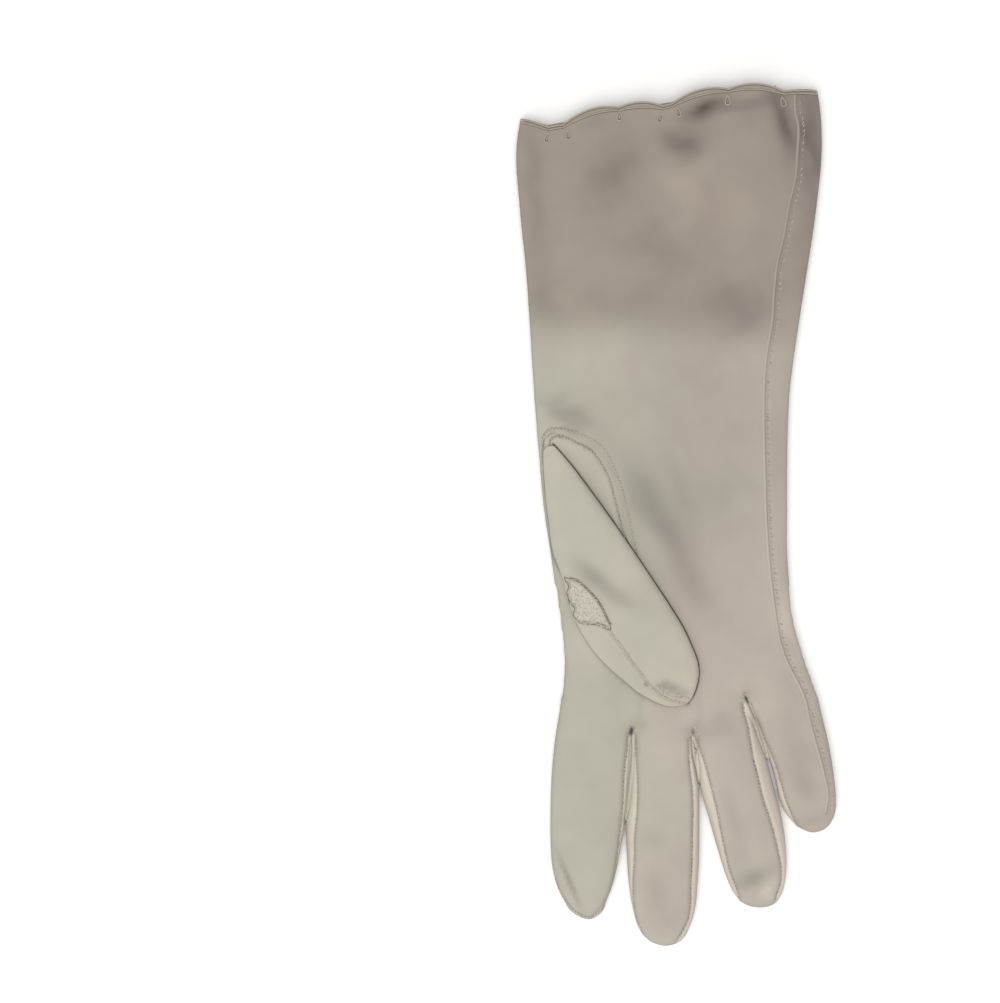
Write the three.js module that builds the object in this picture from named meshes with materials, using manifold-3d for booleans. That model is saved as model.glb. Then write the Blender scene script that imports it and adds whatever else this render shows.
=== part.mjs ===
// A woman's fabric dress glove with a scalloped, embroidered cuff, lying palm up.
// Millimetres, +Z up, fingers towards -Y and cuff towards +Y. The cloth is a hollow shell that
// stands open at the cuff, as if it had just been slipped off and laid down.

import * as THREE from "three";
import { mergeVertices } from "three/addons/utils/BufferGeometryUtils.js";
import Module from "manifold-3d";

const wasm = await Module();
wasm.setup();

// Cloth and seams
const wall = 1.0;
const pieceGap = 0.3;
const borderWidth = 1.3;
const borderSwell = 0.3;
const weltHalfWidth = 0.8;
const weltHeight = 0.6;
const threadWidth = 0.5;
const threadHeight = 0.35;
const dropLength = 2.9;
const dropWidth = 2.1;
const dropFullness = 1.3;

// Shape of the flattened sections: the level of the underside, the share of the height at which
// the side fold lies, how far the fold rounds in below, and the power of the curve over the top.
const handShape = { base: 0, edgeShare: 0.27, edgeRound: 2.4, power: 4, topSteps: 10, stations: 25 };
const fingerShape = { base: 0, edgeShare: 0.28, edgeRound: 2.0, power: 2.6, topSteps: 6, stations: 13 };
const thumbShape = { base: 4, edgeShare: 0.42, edgeRound: 2.0, power: 2.6, topSteps: 8, stations: 14 };
const foldCorner = 0.3;
const foldLevel = 2.25;
const narrowest = 0.35;

// Distance at which two corners are one, and heights that bound the cutting prisms
const weldDistance = 1e-4;
const farBelow = -5;
const farAbove = 25;
const palmCutFrom = 4.0;
const beyondCuff = 160;

// Hand and cuff, from the mouth of the cuff to the roots of the fingers.
const handRows = [
  { y: 151, left: -53.7, right: 49.6, crown: 8.7 },
  { y: 127, left: -54.4, right: 50.0, crown: 8.7 },
  { y: 103, left: -53.0, right: 47.9, crown: 8.6 },
  { y: 83, left: -51.0, right: 44.9, crown: 8.5 },
  { y: 63, left: -49.6, right: 41.8, crown: 8.3 },
  { y: 42, left: -48.3, right: 39.0, crown: 8.2 },
  { y: 22, left: -46.7, right: 38.2, crown: 8.2 },
  { y: 2, left: -44.9, right: 38.1, crown: 8.2 },
  { y: -12, left: -42.8, right: 38.1, crown: 8.2 },
  { y: -26, left: -40.8, right: 39.1, crown: 8.2 },
  { y: -39, left: -39.1, right: 41.1, crown: 8.1 },
  { y: -50, left: -38.5, right: 44.2, crown: 7.8 },
  { y: -57, left: -38.8, right: 46.3, crown: 6.9 },
  { y: -62, left: -39.0, right: 48.0, crown: 4.8 },
];

const fingerRows = {
  index: [
    { y: -44, left: -37.8, right: -9.0, crown: 7.2 },
    { y: -56, left: -38.8, right: -10.2, crown: 7.5 },
    { y: -68, left: -39.8, right: -13.3, crown: 7.6 },
    { y: -76, left: -40.9, right: -14.8, crown: 7.6 },
    { y: -86, left: -42.0, right: -15.7, crown: 7.5 },
    { y: -100, left: -42.5, right: -17.0, crown: 7.4 },
    { y: -112, left: -42.5, right: -18.4, crown: 7.3 },
    { y: -121, left: -41.7, right: -19.9, crown: 7.0 },
    { y: -128, left: -40.0, right: -21.7, crown: 6.4 },
    { y: -132.5, left: -37.6, right: -23.4, crown: 5.7 },
    { y: -136, left: -34.4, right: -25.9, crown: 4.7 },
    { y: -137.7, left: -31.3, right: -28.6, crown: 3.4 },
  ],
  middle: [
    { y: -44, left: -18.0, right: 10.0, crown: 7.2 },
    { y: -56, left: -18.4, right: 9.6, crown: 7.5 },
    { y: -68, left: -15.3, right: 7.1, crown: 7.6 },
    { y: -76, left: -14.1, right: 6.3, crown: 7.6 },
    { y: -84, left: -14.8, right: 7.1, crown: 7.5 },
    { y: -94, left: -15.6, right: 8.0, crown: 7.5 },
    { y: -107, left: -16.8, right: 8.2, crown: 7.4 },
    { y: -118, left: -16.5, right: 8.2, crown: 7.3 },
    { y: -128, left: -15.7, right: 7.5, crown: 7.0 },
    { y: -136, left: -14.4, right: 6.6, crown: 6.4 },
    { y: -141, left: -12.7, right: 4.9, crown: 5.7 },
    { y: -145, left: -9.5, right: 2.0, crown: 4.7 },
    { y: -146.9, left: -5.4, right: -2.0, crown: 3.4 },
  ],
  ring: [
    { y: -42, left: 1.5, right: 20.6, crown: 7.2 },
    { y: -53, left: 2.0, right: 21.1, crown: 7.5 },
    { y: -63, left: 4.4, right: 23.8, crown: 7.6 },
    { y: -76, left: 6.8, right: 28.1, crown: 7.6 },
    { y: -84, left: 7.8, right: 30.7, crown: 7.5 },
    { y: -94, left: 8.8, right: 33.3, crown: 7.5 },
    { y: -104, left: 11.4, right: 35.9, crown: 7.4 },
    { y: -112, left: 13.6, right: 37.4, crown: 7.2 },
    { y: -120, left: 16.0, right: 37.8, crown: 6.8 },
    { y: -126, left: 18.1, right: 37.2, crown: 6.1 },
    { y: -130.4, left: 20.7, right: 35.4, crown: 5.0 },
    { y: -133.1, left: 25.2, right: 30.3, crown: 3.4 },
  ],
  little: [
    { y: -36, left: 20.0, right: 39.8, crown: 7.0 },
    { y: -43, left: 21.1, right: 42.0, crown: 7.2 },
    { y: -53, left: 22.1, right: 45.2, crown: 7.4 },
    { y: -63, left: 24.3, right: 48.6, crown: 7.5 },
    { y: -70, left: 27.4, right: 50.0, crown: 7.5 },
    { y: -77, left: 29.9, right: 51.8, crown: 7.4 },
    { y: -84, left: 32.3, right: 53.0, crown: 7.3 },
    { y: -91, left: 34.0, right: 54.1, crown: 7.0 },
    { y: -98, left: 35.5, right: 54.7, crown: 6.4 },
    { y: -102, left: 37.2, right: 54.1, crown: 5.7 },
    { y: -105.5, left: 40.4, right: 52.3, crown: 4.7 },
    { y: -107.6, left: 44.2, right: 49.3, crown: 3.4 },
  ],
};

// The thumb lies across the palm. Its rows run along its own axis from its root to its tip.
const thumbRoot = { x: -43.5, y: 26.7, turnDegrees: 27.74 };
const thumbRows = [
  { y: -1.5, left: -1.7, right: 0.9, crown: 7.4 },
  { y: -5, left: -4.4, right: 1.2, crown: 8.2 },
  { y: -12, left: -7.8, right: 2.1, crown: 9.9 },
  { y: -20, left: -11.0, right: 3.5, crown: 11.8 },
  { y: -30, left: -14.5, right: 4.9, crown: 13.8 },
  { y: -40, left: -17.7, right: 6.0, crown: 15.1 },
  { y: -50, left: -19.7, right: 7.2, crown: 15.6 },
  { y: -60, left: -20.5, right: 8.5, crown: 15.8 },
  { y: -70, left: -19.6, right: 9.6, crown: 15.8 },
  { y: -80, left: -17.5, right: 10.3, crown: 15.6 },
  { y: -90, left: -13.7, right: 9.3, crown: 14.6 },
  { y: -96, left: -10.2, right: 7.0, crown: 13.4 },
  { y: -101, left: -4.9, right: 2.7, crown: 11.4 },
  { y: -102.4, left: -2.2, right: 0.6, crown: 10.2 },
];

// Dents and soft creases of the upper layer: centre, half lengths along and across, the turn
// of the long direction from +X, and the depth.
const handDents = [
  { x: 37, y: 135, along: 11, across: 4.5, turn: 105, depth: 0.9 },
  { x: 8.5, y: 138, along: 6, across: 5, turn: 0, depth: 0.7 },
  { x: 2.7, y: 126, along: 10, across: 8, turn: 20, depth: 0.8 },
  { x: -4, y: 67, along: 44, across: 7, turn: -3, depth: 0.45 },
  { x: -8, y: 6, along: 15, across: 6, turn: -50, depth: 0.7 },
  { x: 3, y: -11, along: 26, across: 6, turn: -70, depth: 0.7 },
  { x: 41, y: -53, along: 6, across: 5, turn: 0, depth: 0.5 },
  { x: -36, y: -126, along: 11, across: 5, turn: -65, depth: 0.6 },
  { x: -8, y: -110, along: 6, across: 5, turn: 0, depth: 0.5 },
  { x: -5, y: -131, along: 9, across: 5, turn: -80, depth: 0.6 },
  { x: 21, y: -110, along: 8, across: 4.5, turn: -75, depth: 0.5 },
  { x: 28, y: -126, along: 6, across: 4.5, turn: 25, depth: 0.6 },
  { x: 43, y: -92, along: 8, across: 4.5, turn: -65, depth: 0.5 },
];
const thumbDents = [
  { x: -6, y: -52, along: 9, across: 5, turn: -70, depth: 0.8 },
  { x: -2, y: -94, along: 6, across: 5, turn: 0, depth: 1.0 },
];

// Scalloped edges: each row starts an arc that rises by its bulge above the chord to the next.
const palmScallops = [
  { x: -54.9, y: 133.6, bulge: 1.0 },
  { x: -43.2, y: 131.2, bulge: 0.3 },
  { x: -37.4, y: 131.6, bulge: 2.6 },
  { x: -19.4, y: 138.2, bulge: 1.8 },
  { x: -4.4, y: 138.0, bulge: 0.2 },
  { x: -1.4, y: 138.9, bulge: 2.3 },
  { x: 17.3, y: 144.7, bulge: 2.4 },
  { x: 36.7, y: 143.7, bulge: 0.3 },
  { x: 41.1, y: 143.5, bulge: 0.9 },
  { x: 50.6, y: 143.2, bulge: 0 },
];
const backScallops = [
  { x: -54.9, y: 133.0, bulge: 0.5 },
  { x: -46.5, y: 131.6, bulge: 0.4 },
  { x: -31.5, y: 133.8, bulge: 1.2 },
  { x: -12.5, y: 137.8, bulge: 0.3 },
  { x: 6.0, y: 141.2, bulge: 1.5 },
  { x: 27.0, y: 144.0, bulge: 0.9 },
  { x: 50.6, y: 142.8, bulge: 0 },
];
const arcSteps = 4;

// Embroidered drops below the joins of the palm scallops.
const drops = [
  { x: -43.9, y: 127.8, turn: 10 },
  { x: -36.5, y: 128.1, turn: -10 },
  { x: -19.4, y: 134.5, turn: 0 },
  { x: -4.8, y: 134.4, turn: 8 },
  { x: 0.6, y: 136.2, turn: -12 },
  { x: 17.3, y: 140.9, turn: 0 },
  { x: 36.4, y: 140.0, turn: 4 },
];
const dropSteps = 8;

// Seams between the fingers. Each fourchette fills the side walls from one finger's seam, round
// the crotch, to the next finger's seam.
const fourchetteSeams = {
  index_middle: {
    left: [[-15.7, -72.6], [-17.2, -84], [-18.4, -97], [-19.3, -108], [-22.1, -122.6], [-29.5, -139.5]],
    right: [[-14.2, -72.6], [-13.0, -84], [-13.3, -97.4], [-14.3, -118.5], [-15.2, -126], [-18.0, -134]],
    outer: [[-21.0, -142.0]],
  },
  middle_ring: {
    left: [[4.9, -73.4], [4.3, -83], [5.5, -96], [5.2, -112], [4.6, -130], [3.1, -142], [-2.0, -149.5]],
    right: [[6.7, -73.4], [9.9, -85.7], [13.4, -99], [15.6, -110], [17.6, -120], [18.2, -131.5]],
    outer: [[6.0, -150.0], [14.0, -138.0]],
  },
  ring_little: {
    left: [[22.7, -61.2], [24.2, -71], [26.5, -84.5], [30.4, -99], [34.2, -112], [35.6, -122], [37.6, -134]],
    right: [[24.6, -61.2], [29.9, -71.2], [34.1, -83], [36.8, -93], [38.6, -101], [39.8, -108]],
    outer: [[40.0, -125.0]],
  },
};
const seamSteps = 8;

// The seam down the little-finger side, where the palm and back edges meet on a raised welt.
const sideSeam = [
  [42.3, 141.6], [40.8, 122], [39.5, 106], [35.7, 89], [33.2, 68], [30.9, 54], [30.4, 39],
  [31.2, 22], [31.5, 0], [32.4, -24], [37.4, -48], [44.2, -64], [48.1, -82], [51.0, -94],
];
const sideSeamSteps = 20;

// Keyhole in the palm that the thumb is set into, its flush base and the neck between hand
// and thumb. The neck is an ellipse in the thumb's own axes.
const thumbHole = [
  [-41.6, 26.6], [-34.0, 24.3], [-26.2, 17.9], [-22.3, 9], [-19.0, -1.9], [-15.6, -15],
  [-16.3, -28], [-22.5, -36.6], [-30.5, -33], [-37.4, -19.5], [-40.6, -4], [-42.6, 14],
];
const thumbHoleSteps = 24;
const neck = { x: -3, y: -36, halfWidth: 5.5, halfLength: 21, steps: 20 };

// Small gusset at the outer side of the thumb's root. Its last three points lie outside the
// thumb, so that it takes the whole side wall there.
const gussetOutline = [
  [-37.0, -22.0], [-33.3, -23.6], [-29.6, -26.6], [-26.6, -31], [-24.2, -35.2], [-22.8, -38.6],
  [-27.0, -38.2], [-30.6, -38.6], [-34.5, -41], [-41, -34], [-41.5, -24],
];

const materials = {
  cloth: { color: 0xb6b0a4, roughness: 0.95 },
  fourchette: { color: 0xaaa498, roughness: 0.95 },
  gusset: { color: 0xb9b6aa, roughness: 0.98 },
  seam: { color: 0xb0a69c, roughness: 0.9 },
  embroidery: { color: 0xa69f94, roughness: 0.8 },
};

function toManifold(geometry) {
  const bare = geometry.clone();
  bare.deleteAttribute("normal");
  bare.deleteAttribute("uv");
  const merged = mergeVertices(bare, weldDistance);
  const mesh = new wasm.Mesh({
    numProp: 3,
    vertProperties: new Float32Array(merged.attributes.position.array),
    triVerts: new Uint32Array(merged.index.array),
  });
  return new wasm.Manifold(mesh);
}

function toGeometry(solid) {
  const mesh = solid.getMesh();
  const geometry = new THREE.BufferGeometry();
  geometry.setAttribute("position", new THREE.BufferAttribute(mesh.vertProperties, mesh.numProp));
  geometry.setIndex(new THREE.BufferAttribute(mesh.triVerts, 1));
  geometry.computeVertexNormals();
  return geometry;
}

function prism(outline, bottom = farBelow, top = farAbove) {
  const shape = new THREE.Shape(outline.map(([x, y]) => new THREE.Vector2(x, y)));
  const geometry = new THREE.ExtrudeGeometry(shape, { depth: top - bottom, bevelEnabled: false });
  geometry.translate(0, 0, bottom);
  return toManifold(geometry);
}

function dentDepth(dents, x, y) {
  let depth = 0;
  for (const dent of dents) {
    const turn = THREE.MathUtils.degToRad(dent.turn);
    const dx = x - dent.x;
    const dy = y - dent.y;
    const along = (dx * Math.cos(turn) + dy * Math.sin(turn)) / dent.along;
    const across = (dy * Math.cos(turn) - dx * Math.sin(turn)) / dent.across;
    depth += dent.depth * Math.exp(-along * along - across * across);
  }
  return depth;
}

// One closed section, from the left fold over the top to the right fold and back below.
// The inset moves the whole section inwards, or outwards where it is negative.
function sectionPoints(row, shape, inset, dents) {
  const centre = (row.left + row.right) / 2;
  const half = Math.max((row.right - row.left) / 2 - inset, narrowest);
  const base = shape.base + inset;
  const crown = Math.max(row.crown - inset, base + narrowest);
  const edge = base + shape.edgeShare * (crown - base);
  const round = Math.min(shape.edgeRound, half / 2);
  const points = [];
  for (let step = 0; step <= shape.topSteps; step += 1) {
    const side = -Math.cos((Math.PI * step) / shape.topSteps);
    const rise = Math.sqrt(Math.max(1 - Math.pow(Math.abs(side), shape.power), 0));
    const x = centre + half * side;
    points.push([x, edge + (crown - edge) * rise - rise * dentDepth(dents, x, row.y)]);
  }
  const cornerX = half - round * foldCorner;
  const cornerZ = base + (edge - base) * foldCorner;
  const underside = [
    [cornerX, cornerZ],
    [half - round, base],
    [0, base],
    [round - half, base],
    [-cornerX, cornerZ],
  ];
  for (const [x, z] of underside) {
    points.push([centre + x, z]);
  }
  return points;
}

// Rows of a table, read off at close stations by a cubic curve. The stations crowd together
// towards a closed tip, and the last one moves in by the inset.
function stationRows(rows, shape, inset, towardsTip) {
  const first = rows[0].y;
  const length = first - rows[rows.length - 1].y;
  const distances = rows.map((row) => first - row.y);
  const values = rows.flatMap((row) => [row.left, row.right, row.crown]);
  const curve = new THREE.CubicInterpolant(distances, values, 3);
  const stations = [];
  for (let step = 0; step <= shape.stations; step += 1) {
    const share = step / shape.stations;
    const reach = length * (towardsTip ? Math.sin((share * Math.PI) / 2) : share);
    const [left, right, crown] = curve.evaluate(reach);
    stations.push({ y: first - (reach * (length - inset)) / length, left, right, crown });
  }
  return stations;
}

function loft(rows, shape, inset, dents, towardsTip) {
  const sections = stationRows(rows, shape, inset, towardsTip);
  const positions = [];
  for (const row of sections) {
    for (const [x, z] of sectionPoints(row, shape, inset, dents)) {
      positions.push(x, row.y, z);
    }
  }
  const around = positions.length / 3 / sections.length;
  const indices = [];
  for (let i = 0; i < sections.length - 1; i += 1) {
    for (let j = 0; j < around; j += 1) {
      const next = (j + 1) % around;
      const here = i * around;
      const there = here + around;
      indices.push(here + j, there + j, here + next, here + next, there + j, there + next);
    }
  }
  for (const end of [0, sections.length - 1]) {
    const centre = positions.length / 3;
    const row = sections[end];
    positions.push((row.left + row.right) / 2, row.y, (shape.base + row.crown) / 2);
    for (let j = 0; j < around; j += 1) {
      const a = end * around + j;
      const b = end * around + ((j + 1) % around);
      indices.push(centre, end === 0 ? a : b, end === 0 ? b : a);
    }
  }
  const geometry = new THREE.BufferGeometry();
  geometry.setAttribute("position", new THREE.Float32BufferAttribute(positions, 3));
  geometry.setIndex(indices);
  return geometry;
}

// The whole hand with its four fingers as one solid, without the thumb.
function handSolid(inset) {
  let solid = toManifold(loft(handRows, handShape, inset, handDents, false));
  for (const rows of Object.values(fingerRows)) {
    solid = solid.add(toManifold(loft(rows, fingerShape, inset, handDents, true)));
  }
  return solid;
}

function placeThumb(geometry) {
  geometry.rotateZ(THREE.MathUtils.degToRad(thumbRoot.turnDegrees));
  geometry.translate(thumbRoot.x, thumbRoot.y, 0);
  return geometry;
}

function thumbSolid(inset) {
  return toManifold(placeThumb(loft(thumbRows, thumbShape, inset, thumbDents, true)));
}

function smoothLine(points, steps, shift = 0, closed = false) {
  const vectors = points.map(([x, y]) => new THREE.Vector3(x, y, 0));
  const curve = new THREE.CatmullRomCurve3(vectors, closed, "centripetal");
  const line = [];
  for (let step = 0; step < steps + (closed ? 0 : 1); step += 1) {
    const point = curve.getPoint(step / steps);
    const tangent = curve.getTangent(step / steps);
    line.push([point.x + shift * tangent.y, point.y - shift * tangent.x]);
  }
  return line;
}

function scallopLine(rows) {
  const line = [];
  for (let i = 0; i < rows.length - 1; i += 1) {
    const from = new THREE.Vector2(rows[i].x, rows[i].y);
    const to = new THREE.Vector2(rows[i + 1].x, rows[i + 1].y);
    const middle = from.clone().lerp(to, 0.5);
    middle.y += 2 * rows[i].bulge;
    const arc = new THREE.QuadraticBezierCurve(from, middle, to);
    for (let step = 0; step < arcSteps; step += 1) {
      const point = arc.getPoint(step / arcSteps);
      line.push([point.x, point.y]);
    }
  }
  const last = rows[rows.length - 1];
  line.push([last.x, last.y]);
  return line;
}

function lowered(line, drop) {
  return line.map(([x, y]) => [x, y - drop]);
}

// Everything past the edge of one layer of the cuff.
function pastEdge(rows, drop, bottom, top) {
  const line = lowered(scallopLine(rows), drop);
  const right = line[line.length - 1][0];
  return prism([...line, [right, beyondCuff], [line[0][0], beyondCuff]], bottom, top);
}

function edgeBand(rows, bottom, top) {
  const line = scallopLine(rows);
  return prism([...line, ...lowered(line, borderWidth).reverse()], bottom, top);
}

function dropOutline(row, shrink) {
  const turn = THREE.MathUtils.degToRad(row.turn);
  const outline = [];
  for (let step = 0; step < dropSteps; step += 1) {
    const angle = (step / dropSteps) * 2 * Math.PI;
    const x = (dropWidth / 2 - shrink) * Math.sin(angle) * Math.sin(angle / 2) * dropFullness;
    const y = (dropLength / 2 - shrink) * Math.cos(angle);
    outline.push([
      row.x + x * Math.cos(turn) - y * Math.sin(turn),
      row.y + x * Math.sin(turn) + y * Math.cos(turn),
    ]);
  }
  return outline.reverse();
}

function seamOutline(seams, grow) {
  const left = smoothLine(seams.left, seamSteps, grow);
  const right = smoothLine(seams.right, seamSteps, -grow);
  left[0][1] += grow;
  right[0][1] += grow;
  return [...left, ...seams.outer, ...right.reverse()];
}

function neckOutline(grow) {
  const turn = THREE.MathUtils.degToRad(thumbRoot.turnDegrees);
  const outline = [];
  for (let step = 0; step < neck.steps; step += 1) {
    const angle = (step / neck.steps) * 2 * Math.PI;
    const x = neck.x + (neck.halfWidth + grow) * Math.cos(angle);
    const y = neck.y + (neck.halfLength + grow) * Math.sin(angle);
    outline.push([
      thumbRoot.x + x * Math.cos(turn) - y * Math.sin(turn),
      thumbRoot.y + x * Math.sin(turn) + y * Math.cos(turn),
    ]);
  }
  return outline;
}

function grownOutline(outline, grow) {
  const centreX = outline.reduce((sum, [x]) => sum + x, 0) / outline.length;
  const centreY = outline.reduce((sum, [, y]) => sum + y, 0) / outline.length;
  return outline.map(([x, y]) => {
    const distance = Math.hypot(x - centreX, y - centreY);
    const scale = (distance + grow) / distance;
    return [centreX + (x - centreX) * scale, centreY + (y - centreY) * scale];
  });
}

const outer = handSolid(0);
const inner = handSolid(wall);
const clearOfHand = handSolid(-pieceGap);
const handCloth = outer.subtract(inner);

// The trank is the one folded piece of cloth that makes the palm, the back and the fingers.
function buildTrank() {
  let trank = handCloth;
  const edgeGap = borderWidth + pieceGap;
  trank = trank.subtract(pastEdge(palmScallops, edgeGap, foldLevel, farAbove));
  trank = trank.subtract(pastEdge(backScallops, edgeGap, farBelow, foldLevel));
  for (const seams of Object.values(fourchetteSeams)) {
    trank = trank.subtract(prism(seamOutline(seams, pieceGap / 2)));
  }
  trank = trank.subtract(prism(smoothLine(thumbHole, thumbHoleSteps, 0, true), palmCutFrom));
  const relief = handSolid(-threadHeight).subtract(inner);
  for (const row of drops) {
    const loop = prism(dropOutline(row, 0), foldLevel).subtract(prism(dropOutline(row, threadWidth)));
    trank = trank.add(loop.intersect(relief));
  }
  return trank;
}

function buildFourchette(seams) {
  return handCloth.intersect(prism(seamOutline(seams, -pieceGap / 2)));
}

function buildThumbCloth() {
  const hollow = thumbSolid(wall).subtract(handSolid(-pieceGap - wall));
  return thumbSolid(0).subtract(clearOfHand).subtract(hollow);
}

const thumbCloth = buildThumbCloth();

// The thumb: a flattened finger over the palm, its flush base in the keyhole, and the neck
// that joins the two and lets a thumb pass from the hand.
function buildThumb() {
  const holeOutline = smoothLine(thumbHole, thumbHoleSteps, pieceGap, true);
  const flushBase = handCloth.intersect(prism(holeOutline, palmCutFrom));
  const neckReach = handSolid(-pieceGap - wall);
  const neckRing = prism(neckOutline(wall), palmCutFrom).intersect(neckReach).subtract(inner);
  const passageReach = handSolid(-pieceGap - 1.5 * wall);
  const passage = prism(neckOutline(0), palmCutFrom).intersect(passageReach);
  const gussetCut = prism(grownOutline(gussetOutline, pieceGap / 2));
  return thumbCloth.subtract(gussetCut).add(flushBase).add(neckRing).subtract(passage);
}

function buildGusset() {
  return thumbCloth.intersect(prism(grownOutline(gussetOutline, -pieceGap / 2)));
}

function buildSideWelt() {
  const one = smoothLine(sideSeam, sideSeamSteps, -weltHalfWidth);
  const other = smoothLine(sideSeam, sideSeamSteps, weltHalfWidth);
  const strip = prism([...one, ...other.reverse()], foldLevel + pieceGap);
  return handSolid(-pieceGap - weltHeight).subtract(clearOfHand).intersect(strip);
}

// The stitched borders are a little thicker than the cloth. The lower one stays on the table.
function buildBorder(rows, onTop) {
  const swollen = handSolid(-borderSwell).subtract(handSolid(wall + borderSwell));
  const bottom = onTop ? foldLevel + pieceGap / 2 : 0;
  const top = onTop ? farAbove : foldLevel - pieceGap / 2;
  return swollen.intersect(edgeBand(rows, bottom, top));
}

const glove = new THREE.Group();

function addPiece(name, solid, look) {
  const material = new THREE.MeshStandardMaterial({ ...materials[look], metalness: 0 });
  const mesh = new THREE.Mesh(toGeometry(solid), material);
  mesh.name = name;
  glove.add(mesh);
}

addPiece("trank", buildTrank(), "cloth");
for (const [fingers, seams] of Object.entries(fourchetteSeams)) {
  addPiece(`fourchette_${fingers}`, buildFourchette(seams), "fourchette");
}
addPiece("thumb", buildThumb(), "cloth");
addPiece("thumb_gusset", buildGusset(), "gusset");
addPiece("side_seam_welt", buildSideWelt(), "seam");
addPiece("scallop_border_palm", buildBorder(palmScallops, true), "embroidery");
addPiece("scallop_border_back", buildBorder(backScallops, false), "embroidery");

// The glove lies with the middle of its footprint at the origin.
const box = new THREE.Box3().setFromObject(glove);
const middle = box.getCenter(new THREE.Vector3());
glove.position.set(-middle.x, -middle.y, -box.min.z);

export default glove;
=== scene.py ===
import math
import random

import bmesh
import bpy
import numpy as np
from mathutils import Matrix, Vector
from mathutils.bvhtree import BVHTree


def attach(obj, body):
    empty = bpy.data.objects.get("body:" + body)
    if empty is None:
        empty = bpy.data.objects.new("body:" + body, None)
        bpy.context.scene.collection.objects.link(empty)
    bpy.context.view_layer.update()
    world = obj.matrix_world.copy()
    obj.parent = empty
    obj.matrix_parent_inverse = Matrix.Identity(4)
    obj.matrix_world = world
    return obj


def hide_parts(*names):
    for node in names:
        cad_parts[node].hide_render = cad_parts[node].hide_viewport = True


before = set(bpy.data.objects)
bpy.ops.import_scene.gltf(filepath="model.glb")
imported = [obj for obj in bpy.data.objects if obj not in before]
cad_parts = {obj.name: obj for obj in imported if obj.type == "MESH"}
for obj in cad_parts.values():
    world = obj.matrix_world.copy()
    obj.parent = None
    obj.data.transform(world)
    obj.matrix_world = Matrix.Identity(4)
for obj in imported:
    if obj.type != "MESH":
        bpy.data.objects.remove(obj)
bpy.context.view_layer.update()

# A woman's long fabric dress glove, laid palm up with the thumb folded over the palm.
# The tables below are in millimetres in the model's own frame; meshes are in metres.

mm = 0.001
rng = random.Random(7)


# Reading tables and lines

# Values of a table at the given places along its first column, on a smooth curve.
def readTable(rows, places):
    table = np.array(rows, dtype=float)
    table = table[np.argsort(table[:, 0])]
    at, values = table[:, 0], table[:, 1:]
    slopes = np.gradient(values, at, axis=0)
    places = np.clip(np.array(places, dtype=float), at[0], at[-1])
    low = np.clip(np.searchsorted(at, places) - 1, 0, len(at) - 2)
    width = (at[low + 1] - at[low])[:, None]
    t = ((places - at[low])[:, None]) / width
    first = values[low] * (2 * t**3 - 3 * t**2 + 1) + slopes[low] * width * (t**3 - 2 * t**2 + t)
    return first + values[low + 1] * (3 * t**2 - 2 * t**3) + slopes[low + 1] * width * (t**3 - t**2)


# Lengths along a line of points, from its start to each point.
def lengthsOf(line):
    return np.concatenate([[0], np.cumsum(np.linalg.norm(np.diff(line, axis=0), axis=1))])


# The point of a line at a length along it, or the points at several lengths.
def pointAt(line, along, at):
    return np.array([np.interp(at, along, column) for column in line.T]).T


def closed(line):
    return np.vstack([line, line[:1]])


# A smooth line through points, with one point every step millimetres; a ring ends where it starts.
def smoothLine(points, step=1.6, ring=False):
    points = closed(points) if ring else np.array(points, dtype=float)
    along = lengthsOf(points)
    count = max(int(round(along[-1] / step)), 2)
    line = readTable(np.column_stack([along, points]), np.linspace(0, along[-1], count + 1))
    return line[:-1] if ring else line


# The same line moved sideways, to the left of its direction.
def besideLine(line, aside):
    ahead = np.gradient(line, axis=0)
    ahead /= np.linalg.norm(ahead, axis=1)[:, None]
    return line + aside * np.column_stack([-ahead[:, 1], ahead[:, 0]])


# Distance of each point from a line; points well away from it all get the same large value.
def lineDistance(points, line, reach=9.0):
    best = np.full(len(points), 99.0)
    low, high = line.min(axis=0) - reach, line.max(axis=0) + reach
    near = np.flatnonzero(((points > low) & (points < high)).all(axis=1))
    for a, b in zip(line[:-1], line[1:]):
        low, high = np.minimum(a, b) - reach, np.maximum(a, b) + reach
        here = near[((points[near] > low) & (points[near] < high)).all(axis=1)]
        step = b - a
        t = np.clip(((points[here] - a) @ step) / max(step @ step, 1e-12), 0, 1)
        away = points[here] - (a + t[:, None] * step)
        best[here] = np.minimum(best[here], np.hypot(away[:, 0], away[:, 1]))
    return best


def insidePolygon(points, polygon):
    inside = np.zeros(len(points), dtype=bool)
    for a, b in zip(polygon, np.roll(polygon, -1, axis=0)):
        if a[1] == b[1]:
            continue
        crosses = (a[1] > points[:, 1]) != (b[1] > points[:, 1])
        inside ^= crosses & (points[:, 0] < (b[0] - a[0]) * (points[:, 1] - a[1]) / (b[1] - a[1]) + a[0])
    return inside


# Distance from a closed outline, positive inside it.
def outlineDepth(points, polygon):
    away = lineDistance(points, np.vstack([polygon, polygon[:1]]))
    return np.where(insidePolygon(points, polygon), away, -away)


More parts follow.
